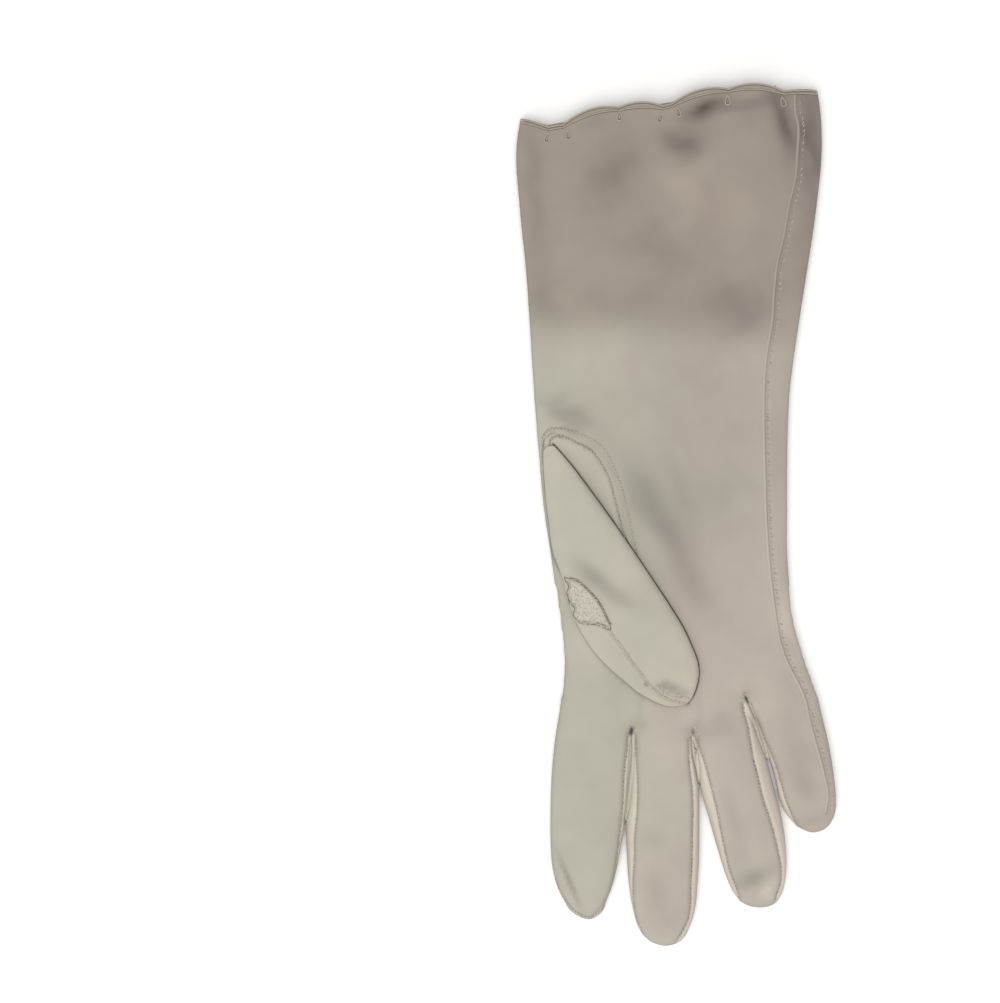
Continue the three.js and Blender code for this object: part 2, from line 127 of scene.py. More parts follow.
# Sums soft oval spots, rows of (x, y, length, width, turn in degrees, depth). Waver is how many
# millimetres the outlines of the wider ones sway, so that they look worn in and not drawn.
def bellSum(spots, points, waver=0.0):
    total = np.zeros(len(points))
    x, y = points[:, 0], points[:, 1]
    swayX = np.sin(0.34 * y + 1.3) + 0.6 * np.sin(0.52 * x + 0.47 * y)
    swayY = np.sin(0.29 * x + 0.5) + 0.6 * np.sin(0.66 * y - 0.41 * x)
    for spotX, spotY, length, width, turn, depth in spots:
        turn = math.radians(turn)
        shift = waver * min(width / 4, 1.6) if width > 2 else 0.0
        dx, dy = x + shift * swayX - spotX, y + shift * swayY - spotY
        along = (dx * math.cos(turn) + dy * math.sin(turn)) / length
        across = (dy * math.cos(turn) - dx * math.sin(turn)) / width
        total += depth * np.exp(-along**2 - across**2)
    return total


# A soft ridge or groove: 1 on the line, falling away within about a width of it.
def bell(away, width, power=2):
    return np.exp(-((away / width) ** power))


# 0 below the low value, 1 above the high one, and a smooth rise between them.
def smoothStep(value, low, high):
    t = np.clip((value - low) / (high - low), 0, 1)
    return t * t * (3 - 2 * t)


# Hand and fingers: rows of (y, left fold, right fold, height of the crown). The edge share is
# the height of the fold, power how square the crown is, and the inset is swollen out again.

hand = {
    "edgeShare": 0.27, "power": 4.0, "around": 84, "stations": 72, "base": 0.0, "inset": 0.85,
    "pitch": (1.0, 1.85, 1.15),
    # where the outer fingers leave the hand: band of y, the hand's own sides, rounds of smoothing
    "rootBand": (-62, -24), "rootSides": (-36.5, 37.5), "rootPasses": 8,
    "rows": [
        (151, -48, 47, 8.3), (143, -50.6, 48.7, 8.4), (135, -52.8, 49.7, 8.4), (127, -54.1, 50, 8.4),
        (103, -53, 47.9, 8.4), (83, -51, 44.9, 8.4), (63, -49.6, 41.8, 8.3), (42, -48.3, 39, 8.2),
        (22, -46.7, 38.2, 8.2), (2, -44.9, 38.1, 8.2), (-12, -42.8, 38.1, 8.2), (-26, -40.8, 39.1, 8.2),
        (-39, -39.1, 41.1, 8.1), (-50, -38.3, 44.2, 7.9), (-57, -38.2, 46.2, 7.4), (-64, -38.2, 47.8, 6),
        (-69, -37.6, 47.8, 4.6),
    ],
}
finger = {"edgeShare": 0.3, "power": 3.0, "around": 56, "stations": 48, "base": 0.0, "inset": 0.85}
fingers = {
    "index": [
        (-44, -37.5, -9, 6.6), (-52, -38, -9.8, 7.3), (-60, -38.6, -11, 7.6), (-68, -39.6, -13, 7.6),
        (-76, -40.9, -14.9, 7.6), (-86, -42, -15.5, 7.5), (-100, -42.6, -16.6, 7.4),
        (-112, -42.6, -18.2, 7.3), (-121, -41.9, -19.9, 7), (-128, -40.1, -21.7, 6.5),
        (-132.5, -37.8, -23.5, 5.9), (-135.4, -36, -24.4, 5.2), (-136.9, -34, -25.7, 4.5),
        (-137.8, -32.2, -27.1, 3.8), (-138.2, -30.6, -28.7, 3.2),
    ],
    "middle": [
        (-44, -18, 10, 7.4), (-56, -18.4, 9.6, 7.6), (-68, -15.5, 7.1, 7.6), (-76, -14.4, 6.4, 7.6),
        (-84, -14.7, 7.2, 7.5), (-94, -15.4, 8, 7.5), (-107, -16.9, 8.2, 7.4), (-118, -16.5, 8.1, 7.3),
        (-128, -15.7, 7.5, 7), (-136, -14.3, 6.6, 6.5), (-141.5, -12.6, 4.8, 5.9), (-144.7, -10.3, 3.2, 5.1),
        (-146.2, -8.3, 1.6, 4.3), (-146.9, -6.4, -0.2, 3.7), (-147.2, -4.8, -1.8, 3.2),
    ],
    "ring": [
        (-42, 1.5, 20.6, 7.4), (-53, 2, 21.1, 7.6), (-63, 4.4, 23.8, 7.6), (-76, 6.8, 28.1, 7.6),
        (-84, 7.6, 31, 7.5), (-94, 8.6, 33.6, 7.5), (-104, 11.4, 36.2, 7.4), (-112, 13.6, 37.5, 7.2),
        (-120, 16, 37.9, 6.8), (-126, 18.1, 37.4, 6.2), (-131, 20.9, 35.8, 5.4), (-132.9, 23, 34.3, 4.6),
        (-133.8, 25.3, 32.4, 3.9), (-134.1, 27.2, 30.6, 3.3),
    ],
    "little": [
        (-34, 20, 38.9, 6.4), (-42, 21.1, 41.7, 7.2), (-53, 22.1, 45.2, 7.4), (-63, 24.3, 48.6, 7.5),
        (-70, 27.4, 50.2, 7.5), (-77, 29.7, 51.9, 7.4), (-84, 32.1, 53.2, 7.3), (-91, 34, 54.2, 7),
        (-98, 35.6, 54.8, 6.5), (-102, 37.4, 54.6, 5.9), (-104.8, 39.6, 53.6, 5.3), (-106.9, 41.8, 52.2, 4.5),
        (-108, 43.9, 50.6, 3.8), (-108.5, 45.4, 48.8, 3.2),
    ],
}
# Webs that fill the valleys up to where the fingers part, and stay low where two fingers lie
# against each other, so that they meet at a clean crease.
webs = [
    [(-58, -21.2, -8.4, 7.5), (-70, -20.8, -9.2, 7.2), (-73, -19, -11, 5.6), (-76, -18.4, -11.4, 4.3),
     (-86, -18.6, -12, 4.1), (-94, -18.8, -12.8, 3.6), (-103.4, -19.4, -14.4, 3),
     (-105.4, -17.8, -16.4, 2.2)],
    [(-58, -1.6, 11.2, 7.5), (-71, 0, 11, 7.2), (-74, 2, 9.8, 5.4), (-77, 3.2, 9.6, 3.7),
     (-90.4, 5.4, 10.8, 3), (-92.2, 7.4, 8.8, 2.2)],
    [(-48, 16.4, 28.6, 7.4), (-58, 17.8, 29.2, 7.1), (-61, 20.2, 28.4, 5.4), (-64, 21.6, 29.2, 3.7),
     (-74, 25.4, 32.4, 3.4), (-82.2, 28.8, 34, 3), (-84, 31.2, 32.6, 2.2)],
]


# Puts one ring of a loft on its place; each point keeps its turn round the ring.
def placeRing(ring, turn, place, values, shape):
    left, right, crown = values
    centre, half = (left + right) / 2, max((right - left) / 2 - shape["inset"], 0.3)
    base = shape["base"] + shape["inset"]
    crown = max(crown - shape["inset"], base + 0.3)
    edge = base + shape["edgeShare"] * (crown - base)
    for vert in ring:
        angle = vert[turn]
        side = -math.cos(angle)
        if math.sin(angle) >= 0:
            z = edge + (crown - edge) * math.sqrt(max(1 - abs(side) ** shape["power"], 0))
        else:
            z = edge - (edge - base) * math.sqrt(max(1 - abs(side) ** 9, 0))
        vert.co = Vector((centre + half * side, place, z)) * mm


def addLoft(bm, rows, shape, towardsTip):
    turn = bm.verts.layers.float["turn"]
    first, last = rows[0][0], rows[-1][0]
    share = np.linspace(0, 1, shape["stations"] + 1)
    places = first + (last - first) * (np.sin(share * math.pi / 2) if towardsTip else share)
    values = readTable(rows, places)
    if towardsTip:
        places = first + (places - first) * (1 - shape["inset"] / abs(last - first))
    ring = bmesh.ops.create_circle(bm, cap_ends=False, segments=shape["around"], radius=1.0)["verts"]
    for i, vert in enumerate(ring):
        vert[turn] = 2 * math.pi * i / shape["around"]
    edges = list({edge for vert in ring for edge in vert.link_edges})
    placeRing(ring, turn, places[0], values[0], shape)
    bmesh.ops.contextual_create(bm, geom=edges)
    for place, row in zip(places[1:], values[1:]):
        made = bmesh.ops.extrude_edge_only(bm, edges=edges)["geom"]
        ring = [item for item in made if isinstance(item, bmesh.types.BMVert)]
        fresh = set(ring)
        edges = [e for e in made if isinstance(e, bmesh.types.BMEdge) and fresh.issuperset(e.verts)]
        placeRing(ring, turn, place, row, shape)
    bmesh.ops.contextual_create(bm, geom=edges)


def newObject(name, mesh):
    piece = bpy.data.objects.new(name, mesh)
    bpy.context.scene.collection.objects.link(piece)
    return piece


# Turns a bmesh into a mesh and frees it.
def meshOf(bm, name):
    mesh = bpy.data.meshes.new(name)
    bm.to_mesh(mesh)
    bm.free()
    return mesh


# Adds a mesh to a bmesh and drops it.
def addMesh(bm, mesh):
    bm.from_mesh(mesh)
    bpy.data.meshes.remove(mesh)


# The mesh that an object's curve or modifiers give; the object is removed.
def bakedMesh(holder):
    mesh = bpy.data.meshes.new_from_object(holder.evaluated_get(bpy.context.evaluated_depsgraph_get()))
    bpy.data.objects.remove(holder)
    return mesh


def smoothAll(bm, factor):
    bmesh.ops.smooth_vert(
        bm, verts=bm.verts, factor=factor, use_axis_x=True, use_axis_y=True, use_axis_z=True,
    )


def splitTriangles(bm, edges):
    bmesh.ops.subdivide_edges(bm, edges=edges, cuts=1, use_grid_fill=True)
    bmesh.ops.triangulate(bm, faces=[face for face in bm.faces if len(face.verts) > 3])


# Draws points onto the nearest place of the shapes that a skin was made from.
def drawOnto(verts, forms, share):
    for vert in verts:
        spot, _, _, away = forms.find_nearest(vert.co)
        if away < 0.9 * mm:
            vert.co = vert.co.lerp(spot, share)


# Joins overlapping closed shapes into one even skin with points a pitch apart along x, y and z.
# The skin is drawn back onto the shapes, twice as fine along its sides, and swollen by the
# inset that they were made with, so that narrow gaps between fingers stay open.
def evenSkin(bm, pitch, inset):
    bmesh.ops.recalc_face_normals(bm, faces=bm.faces)
    forms = BVHTree.FromBMesh(bm)
    mesh = meshOf(bm, "lofts")
    mesh.transform(Matrix.Diagonal((1 / pitch[0], 1 / pitch[1], 1 / pitch[2], 1)))
    holder = newObject("lofts", mesh)
    remesh = holder.modifiers.new("skin", "REMESH")
    remesh.mode = "VOXEL"
    remesh.voxel_size = mm
    even = bakedMesh(holder)
    even.transform(Matrix.Diagonal((*pitch, 1)))
    skin = bmesh.new()
    addMesh(skin, even)
    drawOnto(skin.verts, forms, 0.95)
    for _ in range(2):
        smoothAll(skin, 0.5)
    bmesh.ops.triangulate(skin, faces=skin.faces)
    skin.normal_update()
    sides = [edge for edge in skin.edges if all(abs(vert.normal.z) < 0.75 for vert in edge.verts)]
    splitTriangles(skin, sides)
    skin.normal_update()
    drawOnto([vert for vert in skin.verts if abs(vert.normal.z) < 0.85], forms, 1.0)
    skin.normal_update()
    for vert in skin.verts:
        vert.co += vert.normal * inset * mm
    return skin


def pointsOf(bm):
    return np.array([vert.co for vert in bm.verts]) / mm


# Cuts the triangles near the lines into smaller ones, so that seams and creases come out fine.
def refineNear(bm, lines, reach, above=2.6):
    points = pointsOf(bm)
    near = np.full(len(points), 1e9)
    for line in lines:
        near = np.minimum(near, lineDistance(points[:, :2], line))
    near[points[:, 2] < above] = 1e9
    bm.verts.ensure_lookup_table()
    bm.verts.index_update()
    edges = [e for e in bm.edges if near[e.verts[0].index] < reach and near[e.verts[1].index] < reach]
    splitTriangles(bm, edges)


# Moves the nearer end of each edge that crosses the zero of a field onto that zero, and
# returns the faces on its positive side.
def snapTo(bm, field):
    bm.verts.index_update()
    values = field(pointsOf(bm))
    crossing = []
    for edge in bm.edges:
        a, b = (vert.index for vert in edge.verts)
        if values[a] * values[b] < 0:
            share = values[a] / (values[a] - values[b])
            crossing.append((min(share, 1 - share), edge.index, edge, share))
    crossing.sort(key=lambda item: item[:2])
    for _, _, edge, share in crossing:
        first, second = edge.verts
        if values[first.index] * values[second.index] >= 0:
            continue
        spot = first.co.lerp(second.co, share)
        mover = first if share < 0.5 else second
        mover.co = spot
        values[mover.index] = 0
    return [face for face in bm.faces if sum(values[vert.index] for vert in face.verts) > 0]


# Scalloped cuff

cuff = {
    "foldLevel": 2.3,
    # joins of the scallops: x, y and how far the arc after it rises above its chord
    "palm": [
        (-54.9, 135, 0.4), (-43.4, 131.4, 0.2), (-38.4, 132.1, 2.4), (-19.6, 137.8, 1.7), (-4.6, 138.3, 0.1),
        (-1.6, 139.1, 2.3), (17.6, 144.1, 2.2), (36.8, 143.5, 0.2), (41.2, 143.9, 0.6), (51, 143.7, 0),
    ],
    "back": [
        (-54.9, 134.6, 0.2), (-46.5, 132.1, 0.4), (-31.5, 134.5, 1.3), (-12.5, 138.4, 0.4), (6, 141.7, 1.6),
        (27, 144.5, 0.7), (51, 143.4, 0),
    ],
}


# Height of a scalloped line at each x, with the rise of its arc and that arc's own bulge.
def scallopAt(rows, x):
    y, hump = np.full(len(x), rows[0][1], dtype=float), np.zeros(len(x))
    for (x0, y0, bulge), (x1, y1, _) in zip(rows[:-1], rows[1:]):
        t = (x - x0) / (x1 - x0)
        here = (t >= 0) & (t <= 1)
        rise = 4 * t * (1 - t)
        y = np.where(here, y0 + (y1 - y0) * t + bulge * rise, y)
        hump = np.where(here, rise * min(bulge / 1.8, 1.0), hump)
    y = np.where(x > rows[-1][0], rows[-1][1], y)
    return y, hump


def cuffField(points):
    palmY, _ = scallopAt(cuff["palm"], points[:, 0])
    backY, _ = scallopAt(cuff["back"], points[:, 0])
    blend = np.clip((points[:, 2] - cuff["foldLevel"] + 0.6) / 1.2, 0, 1)
    return points[:, 1] - (backY + (palmY - backY) * blend)


# Seam lines

seams = {
    "indexRight": [
        (-16.3, -75), (-16.7, -80.8), (-17.3, -84.8), (-17.7, -90.3), (-18, -98.4), (-18.7, -105.6),
        (-19.7, -114.1), (-21.4, -125.2), (-24, -132), (-27.5, -136), (-29.6, -139.5),
    ],
    "middleLeft": [
        (-13.9, -74.6), (-13.6, -81.8), (-13.2, -88.9), (-13.3, -102.2), (-14, -108.6), (-14.1, -115.8),
        (-14.6, -125), (-14.4, -131.8), (-13.2, -138.2), (-10.6, -144),
    ],
    "middleRight": [
        (4.3, -76.4), (4.4, -83.1), (5.6, -94.7), (5.6, -108.6), (5.1, -125.6), (4.1, -138), (1.6, -143),
        (-2, -149),
    ],
    "ringLeft": [
        (6.4, -75), (7.6, -78.6), (9.9, -85.2), (11.8, -92.3), (13.9, -100.8), (15.4, -108.6), (16.7, -114.6),
        (18.4, -121.6), (20.6, -127), (22, -133),
    ],
    "ringRight": [
        (22.6, -64), (23, -67), (24.1, -70.6), (25.2, -76.7), (26.2, -83.1), (27.5, -87.9), (29.4, -96.1),
        (30.6, -99.8), (32.6, -105.9), (34.6, -114.2), (35.8, -121), (35.6, -125.6), (34, -130.6), (34, -134),
    ],
    "littleLeft": [
        (25.4, -64), (26.6, -67.2), (28.5, -71.9), (30.2, -76.3), (31.8, -80.1), (33.6, -84.4), (35.6, -91),
        (37.4, -97.1), (39.6, -102.4), (42.4, -108.5),
    ],
    "indexTip": [
        (-41.2, -123.4), (-39.7, -127.6), (-37.7, -131), (-35.2, -134.1), (-32.5, -136.2), (-29.7, -137.2),
        (-26.6, -136), (-24.4, -133.5),
    ],
}
strips = {
    "index_middle": ("indexRight", "middleLeft", [(-21.0, -146.0)]),
    "middle_ring": ("middleRight", "ringLeft", [(8.0, -150.0), (16.0, -140.0)]),
    "ring_little": ("ringRight", "littleLeft", [(38.0, -134.0), (43.0, -112.0)]),
}
creases = [
    [(-15, -72.6), (-15, -77), (-14.9, -81.4), (-15.3, -85.5), (-15.9, -91.3), (-16.3, -97.4),
     (-17.2, -104.6)],
    [(5.2, -76.0), (5.6, -81.3), (6.6, -86.2), (7.8, -91.4)],
    [(23.8, -62.4), (26.2, -67.8), (27.9, -71.9), (29.3, -76.3), (30.9, -81.2)],
]
sideSeam = [
    (40.3, 142.6), (40.3, 137), (41.4, 132.1), (41.5, 128.7), (41.1, 123.8), (40.5, 115.1), (38.1, 104.6),
    (36.4, 94.7), (34, 84.2), (33, 74.3), (32.6, 66.5), (30.9, 56.6), (29.9, 47.8), (29.6, 36.2),
    (29.9, 15.5), (30.6, -4.9), (32, -21.9), (33.8, -35.2), (35.7, -45.4), (37.9, -50.9), (41.1, -57),
    (43.7, -63.1), (45, -69.5), (46.9, -76.5), (48.6, -82.5), (50, -87.9), (51.5, -96), (50.6, -101.4),
]
thumbHole = [
    (-42.9, 25.4), (-41.2, 26.6), (-37.1, 26.2), (-34, 24.5), (-30.6, 23.1), (-27.9, 20.9), (-25.8, 17.9),
    (-23.8, 14.5), (-22.1, 10.4), (-21, 5.6), (-19.7, 0.6), (-18.7, -4.2), (-17, -9.5), (-15.8, -16),
    (-16.3, -28), (-22.5, -36.6), (-30.5, -33), (-37, -19.5), (-40.2, -4), (-42.2, 14),
]
outerArc = [
    (-45.3, 26.2), (-43.5, 28.4), (-40.5, 29.1), (-37.7, 28.6), (-33.3, 27.5), (-29.9, 26), (-25.8, 23.7),
    (-23.1, 20.4), (-21, 15.8), (-19.2, 11.2), (-17.3, 4.8), (-16, -0.8), (-14.8, -7.4), (-13.4, -13.4),
]
thumbSeam = [
    (-22.8, -38.6), (-20.7, -41.7), (-17, -46.8), (-12.9, -52.5), (-10.2, -55.9), (-7.5, -59), (-5.1, -61),
    (-1, -62.7), (2.9, -63.6),
]
thumbFold = [
    (-41.7, 23.8), (-34.9, 15.8), (-27.2, 5.3), (-18.4, -7), (-9.9, -19.6), (-2, -31.5), (2.7, -39.3),
    (5.4, -45.4), (7.1, -49.8), (7.5, -53.6), (7.1, -57.3), (5.8, -61), (4.1, -63.4),
]
gussetEdge = [
    (-38.1, -21.3), (-36.4, -21.9), (-34.3, -22.6), (-32.3, -24.1), (-30.3, -26), (-27.5, -29.1),
    (-25.5, -32.5), (-24.1, -35.5), (-22.8, -38.6), (-23.8, -38.2), (-27, -36.9), (-30.3, -36.6),
    (-32.8, -36.2), (-34, -34.9), (-34.7, -33.5), (-34.3, -31.8), (-35.7, -30.1), (-37.1, -29.1),
    (-37.4, -27.7), (-36.4, -24.3),
]
thumbLeft = [
    (-45.1, 25.1), (-44.7, 11.2), (-42.8, -5.5), (-41.7, -14.5), (-39.1, -19.6), (-37.7, -21.8),
]
thumbLower = [
    (-33.5, -37.4), (-28.6, -45.7), (-18.2, -56.1), (-11.3, -61.7), (-0.9, -64.9), (4, -63.8),
]
seamLines = {name: smoothLine(points) for name, points in seams.items()}
creaseLines = [smoothLine(points) for points in creases]
sideLine = smoothLine(sideSeam)
holeLine = smoothLine(thumbHole, ring=True)
outerLine = smoothLine(outerArc)
thumbSeamLine = smoothLine(thumbSeam)
# where the thumb's upper layer steps down: along the gusset's foot, then along the seam
stepStart = [(-35.2, -33.6), (-34, -35.2), (-32.6, -36.2), (-30.3, -36.6), (-27, -36.9), (-23.8, -38.2)]
stepLine = smoothLine(stepStart + thumbSeam[1:], 0.8)
gussetLine = smoothLine(gussetEdge, 0.8, ring=True)
foldLine = smoothLine(thumbFold)
leftLine = smoothLine(thumbLeft)
lowerLine = smoothLine(thumbLower)

# Soft dents of the upper layer: (x, y, length, width, turn, depth in millimetres)
handDents = [
    (36.6, 136, 9, 3.6, 112, 1.3), (38.5, 124, 9, 3, 95, 0.8), (8.5, 138, 6, 4, 5, 0.8),
    (3, 126, 9, 6, 20, 0.9), (-18, 117, 14, 9, 50, 0.5), (23, 134, 10, 5, 25, 0.4), (-4, 67, 44, 7, -3, 0.45),
    (-46, 100, 30, 5, 92, 0.5), (-11, 10, 12, 5, -58, 0.8), (-4, -4, 9, 4.5, -45, 0.6),
    (2, 8, 14, 3.5, -72, 0.5), (1.5, -14, 16, 4.5, -66, 0.8), (8, -27, 10, 5, -60, 0.5),
    (-12.5, -71, 3.2, 2.6, 0, 0.7), (6, -72.5, 2.6, 2.4, 0, 0.5), (24.6, -60, 4, 3, -30, 0.6),
    (41, -53, 6, 5, 0, 0.4), (-36.2, -124.6, 9, 1.3, -67, 0.7), (-8, -110, 5, 3.4, 15, 0.5),
    (-6, -128, 8, 4, -80, 0.6), (-2, -138, 5, 3, 30, 0.4), (19, -100, 11, 2.8, -72, 0.5),
    (22, -116, 8, 3.5, -82, 0.5), (26, -123, 5, 2.2, 25, 0.4), (41, -60, 7, 4, -60, 0.3),
    (43, -90, 8, 4.5, -65, 0.6),
]

# Soft patches of the upper layer, with how dark each is: partly soil, partly painted shade, such as the
# shadow below the border's humps on the cuff and the dark crotches between the fingers. Where negative the
# cloth is painted paler, partly as painted light.
soilAndPaintedShade = [
    (8.5, 137.4, 6, 3.2, 12, 0.62), (2.7, 126.5, 7, 4.5, 10, 0.34), (-21.8, 117.5, 10, 6, 60, 0.21),
    (37, 131, 11, 2.6, 112, 0.36), (24, 139.6, 13, 2.4, 10, 0.3), (-27.2, 132.6, 6, 3, 25, 0.15),
    (46.2, 128, 15, 3.8, 95, 0.44), (23.5, 72, 13, 8, 20, 0.24), (-7, 90, 12, 8, -20, 0.18),
    (-48.5, 112, 22, 3, 93, 0.14), (-45.5, 71.5, 9, 6, 60, 0.16), (-17, 72, 14, 6, 10, 0.1),
    (3, 108.5, 14, 7, 75, -0.14), (22, 103, 12, 7, 90, -0.1), (-36, 34, 10, 5, -35, 0.32),
    (6, 16, 46, 26, 90, 0.18), (-12, 6, 14, 4.5, -58, 0.1), (6, -16, 16, 4.5, -66, 0.05),
    (40, -42, 14, 3.5, -72, -0.28), (-31, -48, 9, 6, -60, -0.1), (44, 98, 18, 4, 80, 0.13),
    (16, -72, 8, 5, 0, 0.17), (41, -79, 15, 5, -70, 0.12), (26.6, -122.6, 5.5, 2.8, 24, 0.28),
    (30.2, -127.6, 4.2, 0.9, 37, -0.26), (31.4, -129.4, 3, 1.7, 30, -0.14), (27.2, -129.6, 2.6, 1, 40, 0.09),
    (45, -103.5, 6, 2.6, 10, 0.16), (-36.2, -124.6, 8.5, 0.8, -67, 0.26), (-37.6, -125.4, 8, 0.8, -67, -0.1),
    (-15.3, -73.9, 1.3, 0.8, 70, 1), (23.8, -62.5, 1.3, 0.5, -60, 0.8), (5.9, -74, 0.9, 0.5, 90, 0.7),
]
edgePaintedShade = 0.3  # painted shade on the steep folded edges, which turn away from the overhead lamp
stripPaintedShade = 0.16  # the same painted shade for the strips between the fingers
# Lines in the cloth: groove and the painted shade that darkens it as (width, strength), and the roll of
# cloth that lies beside the groove as (how far aside, width, height)
marks = {
    "seam": {"groove": (0.5, 0.36), "roll": (1.3, 0.8, 0.2), "paintedShade": (0.3, 0.3)},
    "crease": {"groove": (0.6, 0.8), "roll": (0, 1, 0), "paintedShade": (0.3, 0.62)},
    "side": {"groove": (0.6, 0.22), "roll": (1.5, 0.9, 0.15), "paintedShade": (0.6, 0.1)},
}
weltAside = np.array([0.9, 0.0])  # the side seam's groove lies beside its welt
markLines = [(line, marks["seam"]) for line in seamLines.values()]
markLines += [(line, marks["crease"]) for line in creaseLines] + [(sideLine + weltAside, marks["side"])]
# the thumb's edges: line, width and darkness of its shadow, and how sharply that ends
thumbShadows = [(foldLine, 0.46, 0.95, 4), (leftLine, 0.4, 0.5, 2), (lowerLine, 0.45, 0.3, 2)]
lightest, darkest = -0.3, 1.0  # range of the shade that the cloth's material reads


# Presses dents, seam grooves and creases into the upper layer and notes how dark each lies, as painted shade
# in the dents, grooves and creases, with soil and painted light in patches.
def pressHand(points, tilt, edgeDarkness):
    flat = points[:, :2]
    upper = smoothStep(points[:, 2], 2.4, 4.4)
    dents = bellSum(handDents, flat)
    drop = dents.copy()
    # painted shade in the dents, and the patches of soil, painted shade and painted light
    shade = 0.2 * dents + bellSum(soilAndPaintedShade, flat, waver=1.2)
    for line, mark in markLines:
        away = lineDistance(flat, line)
        (grooveWidth, groove), (aside, rollWidth, roll), (paintedShadeWidth, paintedShade) = mark.values()
        drop += groove * bell(away, grooveWidth) - roll * bell(away - aside, rollWidth)
        shade += paintedShade * bell(away, paintedShadeWidth)
    # the strip beyond the side seam, which lies lower towards the cuff and gets painted shade there
    side = points[:, 0] - np.interp(points[:, 1], sideLine[::-1, 1], sideLine[::-1, 0])
    strip = smoothStep(side, 0.5, 3.0) * smoothStep(points[:, 1], 88, 128)
    drop += 0.9 * strip
    shade += 0.12 * strip
    # the thumb's hole: a groove between two rolls, and the outer row of stitches round it, both with painted
    # shade; the cloth inside the hole is a little darker
    hole = outlineDepth(flat, holeLine)
    arc = lineDistance(flat, outerLine)
    drop += 0.22 * bell(hole, 0.45) + 0.18 * bell(arc, 0.45)
    drop -= 0.32 * bell(hole + 1.0, 0.7) + 0.42 * bell(hole - 1.5, 0.8)
    shade += 0.1 * bell(hole, 0.35) + 0.1 * bell(arc, 0.35)
    drop += 0.8 * smoothStep(hole, 2.6, 7.0)
    shade += 0.06 * smoothStep(hole, 1.0, 4.0)
    for line, width, darkness, power in thumbShadows:
        shade += darkness * bell(lineDistance(flat, line), width, power)
    shade *= upper
    # painted shade on steep sides, darker where the cloth turns away from the overhead lamp
    shade += edgeDarkness * (1 - smoothStep(np.abs(tilt), 0.15, 0.8)) * smoothStep(points[:, 2], 0.3, 1.2)
    return drop * upper, np.clip(shade, lightest, darkest)


def buildHandSkin():
    bm = bmesh.new()
    bm.verts.layers.float.new("turn")
    addLoft(bm, hand["rows"], hand, False)
    for rows in fingers.values():
        addLoft(bm, rows, finger, True)
    web = {**finger, "around": 20, "stations": 20, "power": 2.6}
    for rows in webs:
        addLoft(bm, rows, web, False)
    skin = evenSkin(bm, hand["pitch"], hand["inset"])
    (low, high), (left, right) = hand["rootBand"], hand["rootSides"]
    roots = [vert for vert in skin.verts if low < vert.co.y / mm < high and abs(vert.normal.z) < 0.8
             and not left < vert.co.x / mm < right]
    for _ in range(hand["rootPasses"]):
        bmesh.ops.smooth_vert(skin, verts=roots, factor=0.5, use_axis_x=True, use_axis_y=True)
    fine = list(seamLines.values()) + creaseLines + [foldLine, besideLine(foldLine, 0.7), leftLine, lowerLine]
    refineNear(skin, fine + [sideLine, closed(holeLine), outerLine], 1.6)
    refineNear(skin, fine, 0.8)
    refineNear(skin, [besideLine(foldLine, 0.4), besideLine(lowerLine, -0.3)], 0.8)
    cuffX = np.linspace(cuff["palm"][0][0], cuff["palm"][-1][0], 200)
    edges = [np.column_stack([cuffX, scallopAt(cuff[side], cuffX)[0]]) for side in ("palm", "back")]
    refineNear(skin, edges, 1.8, above=-1)
    bmesh.ops.delete(skin, geom=snapTo(skin, cuffField), context="FACES")
    return skin


# Takes the chosen faces out of a mesh and returns them as a mesh of their own.
def takeOut(bm, faces):
    bm.faces.index_update()
    taken = {face.index for face in faces}
    part = bm.copy()
    bmesh.ops.delete(part, geom=[face for face in part.faces if face.index not in taken], context="FACES")
    bmesh.ops.delete(bm, geom=list(faces), context="FACES")
    return part


def setShade(bm, points, shade):
    layer = bm.verts.layers.float.get("shade") or bm.verts.layers.float.new("shade")
    for vert, point, value in zip(bm.verts, points, shade):
        vert.co = Vector(point) * mm
        vert[layer] = value


handSkin = buildHandSkin()
print("hand skin", len(handSkin.faces), "triangles")

pieces = {}
for name, (left, right, outer) in strips.items():
    polygon = np.vstack([seamLines[left], outer, seamLines[right][::-1]])
    chosen = snapTo(handSkin, lambda spots: outlineDepth(spots[:, :2], polygon))
    pieces["fourchette_" + name] = takeOut(handSkin, chosen)


def holeField(spots):
    depth = outlineDepth(spots[:, :2], holeLine)
    return np.where(spots[:, 2] > 4.0, depth, -np.abs(depth) - 1)


pieces["thumb_base"] = takeOut(handSkin, snapTo(handSkin, holeField))
pieces["trank"] = handSkin
for name, bm in pieces.items():
    points = pointsOf(bm)
    bm.normal_update()
    edgeDarkness = stripPaintedShade if name.startswith("fourchette") else edgePaintedShade
    drop, shade = pressHand(points, np.array([vert.normal.z for vert in bm.verts]), edgeDarkness)
    points[:, 2] -= drop
    setShade(bm, points, shade)
print("hand cut into", len(pieces), "pieces")

# One search tree over the whole pressed hand, for laying the thumb and the threads on it
wholeHand = bmesh.new()
for bm in pieces.values():
    addMesh(wholeHand, meshOf(bm.copy(), "part"))
handTree = BVHTree.FromBMesh(wholeHand)


# Height and upward direction of a surface below a point, in millimetres.
def surfaceAt(tree, x, y):
    spot, normal, _, _ = tree.ray_cast(Vector((x, y, 60)) * mm, Vector((0, 0, -1)))
    if spot is None:
        return None
    return spot.z / mm, (normal if normal.z > 0 else -normal)


# Thumb: its own rows along its axis, from the root to the tip

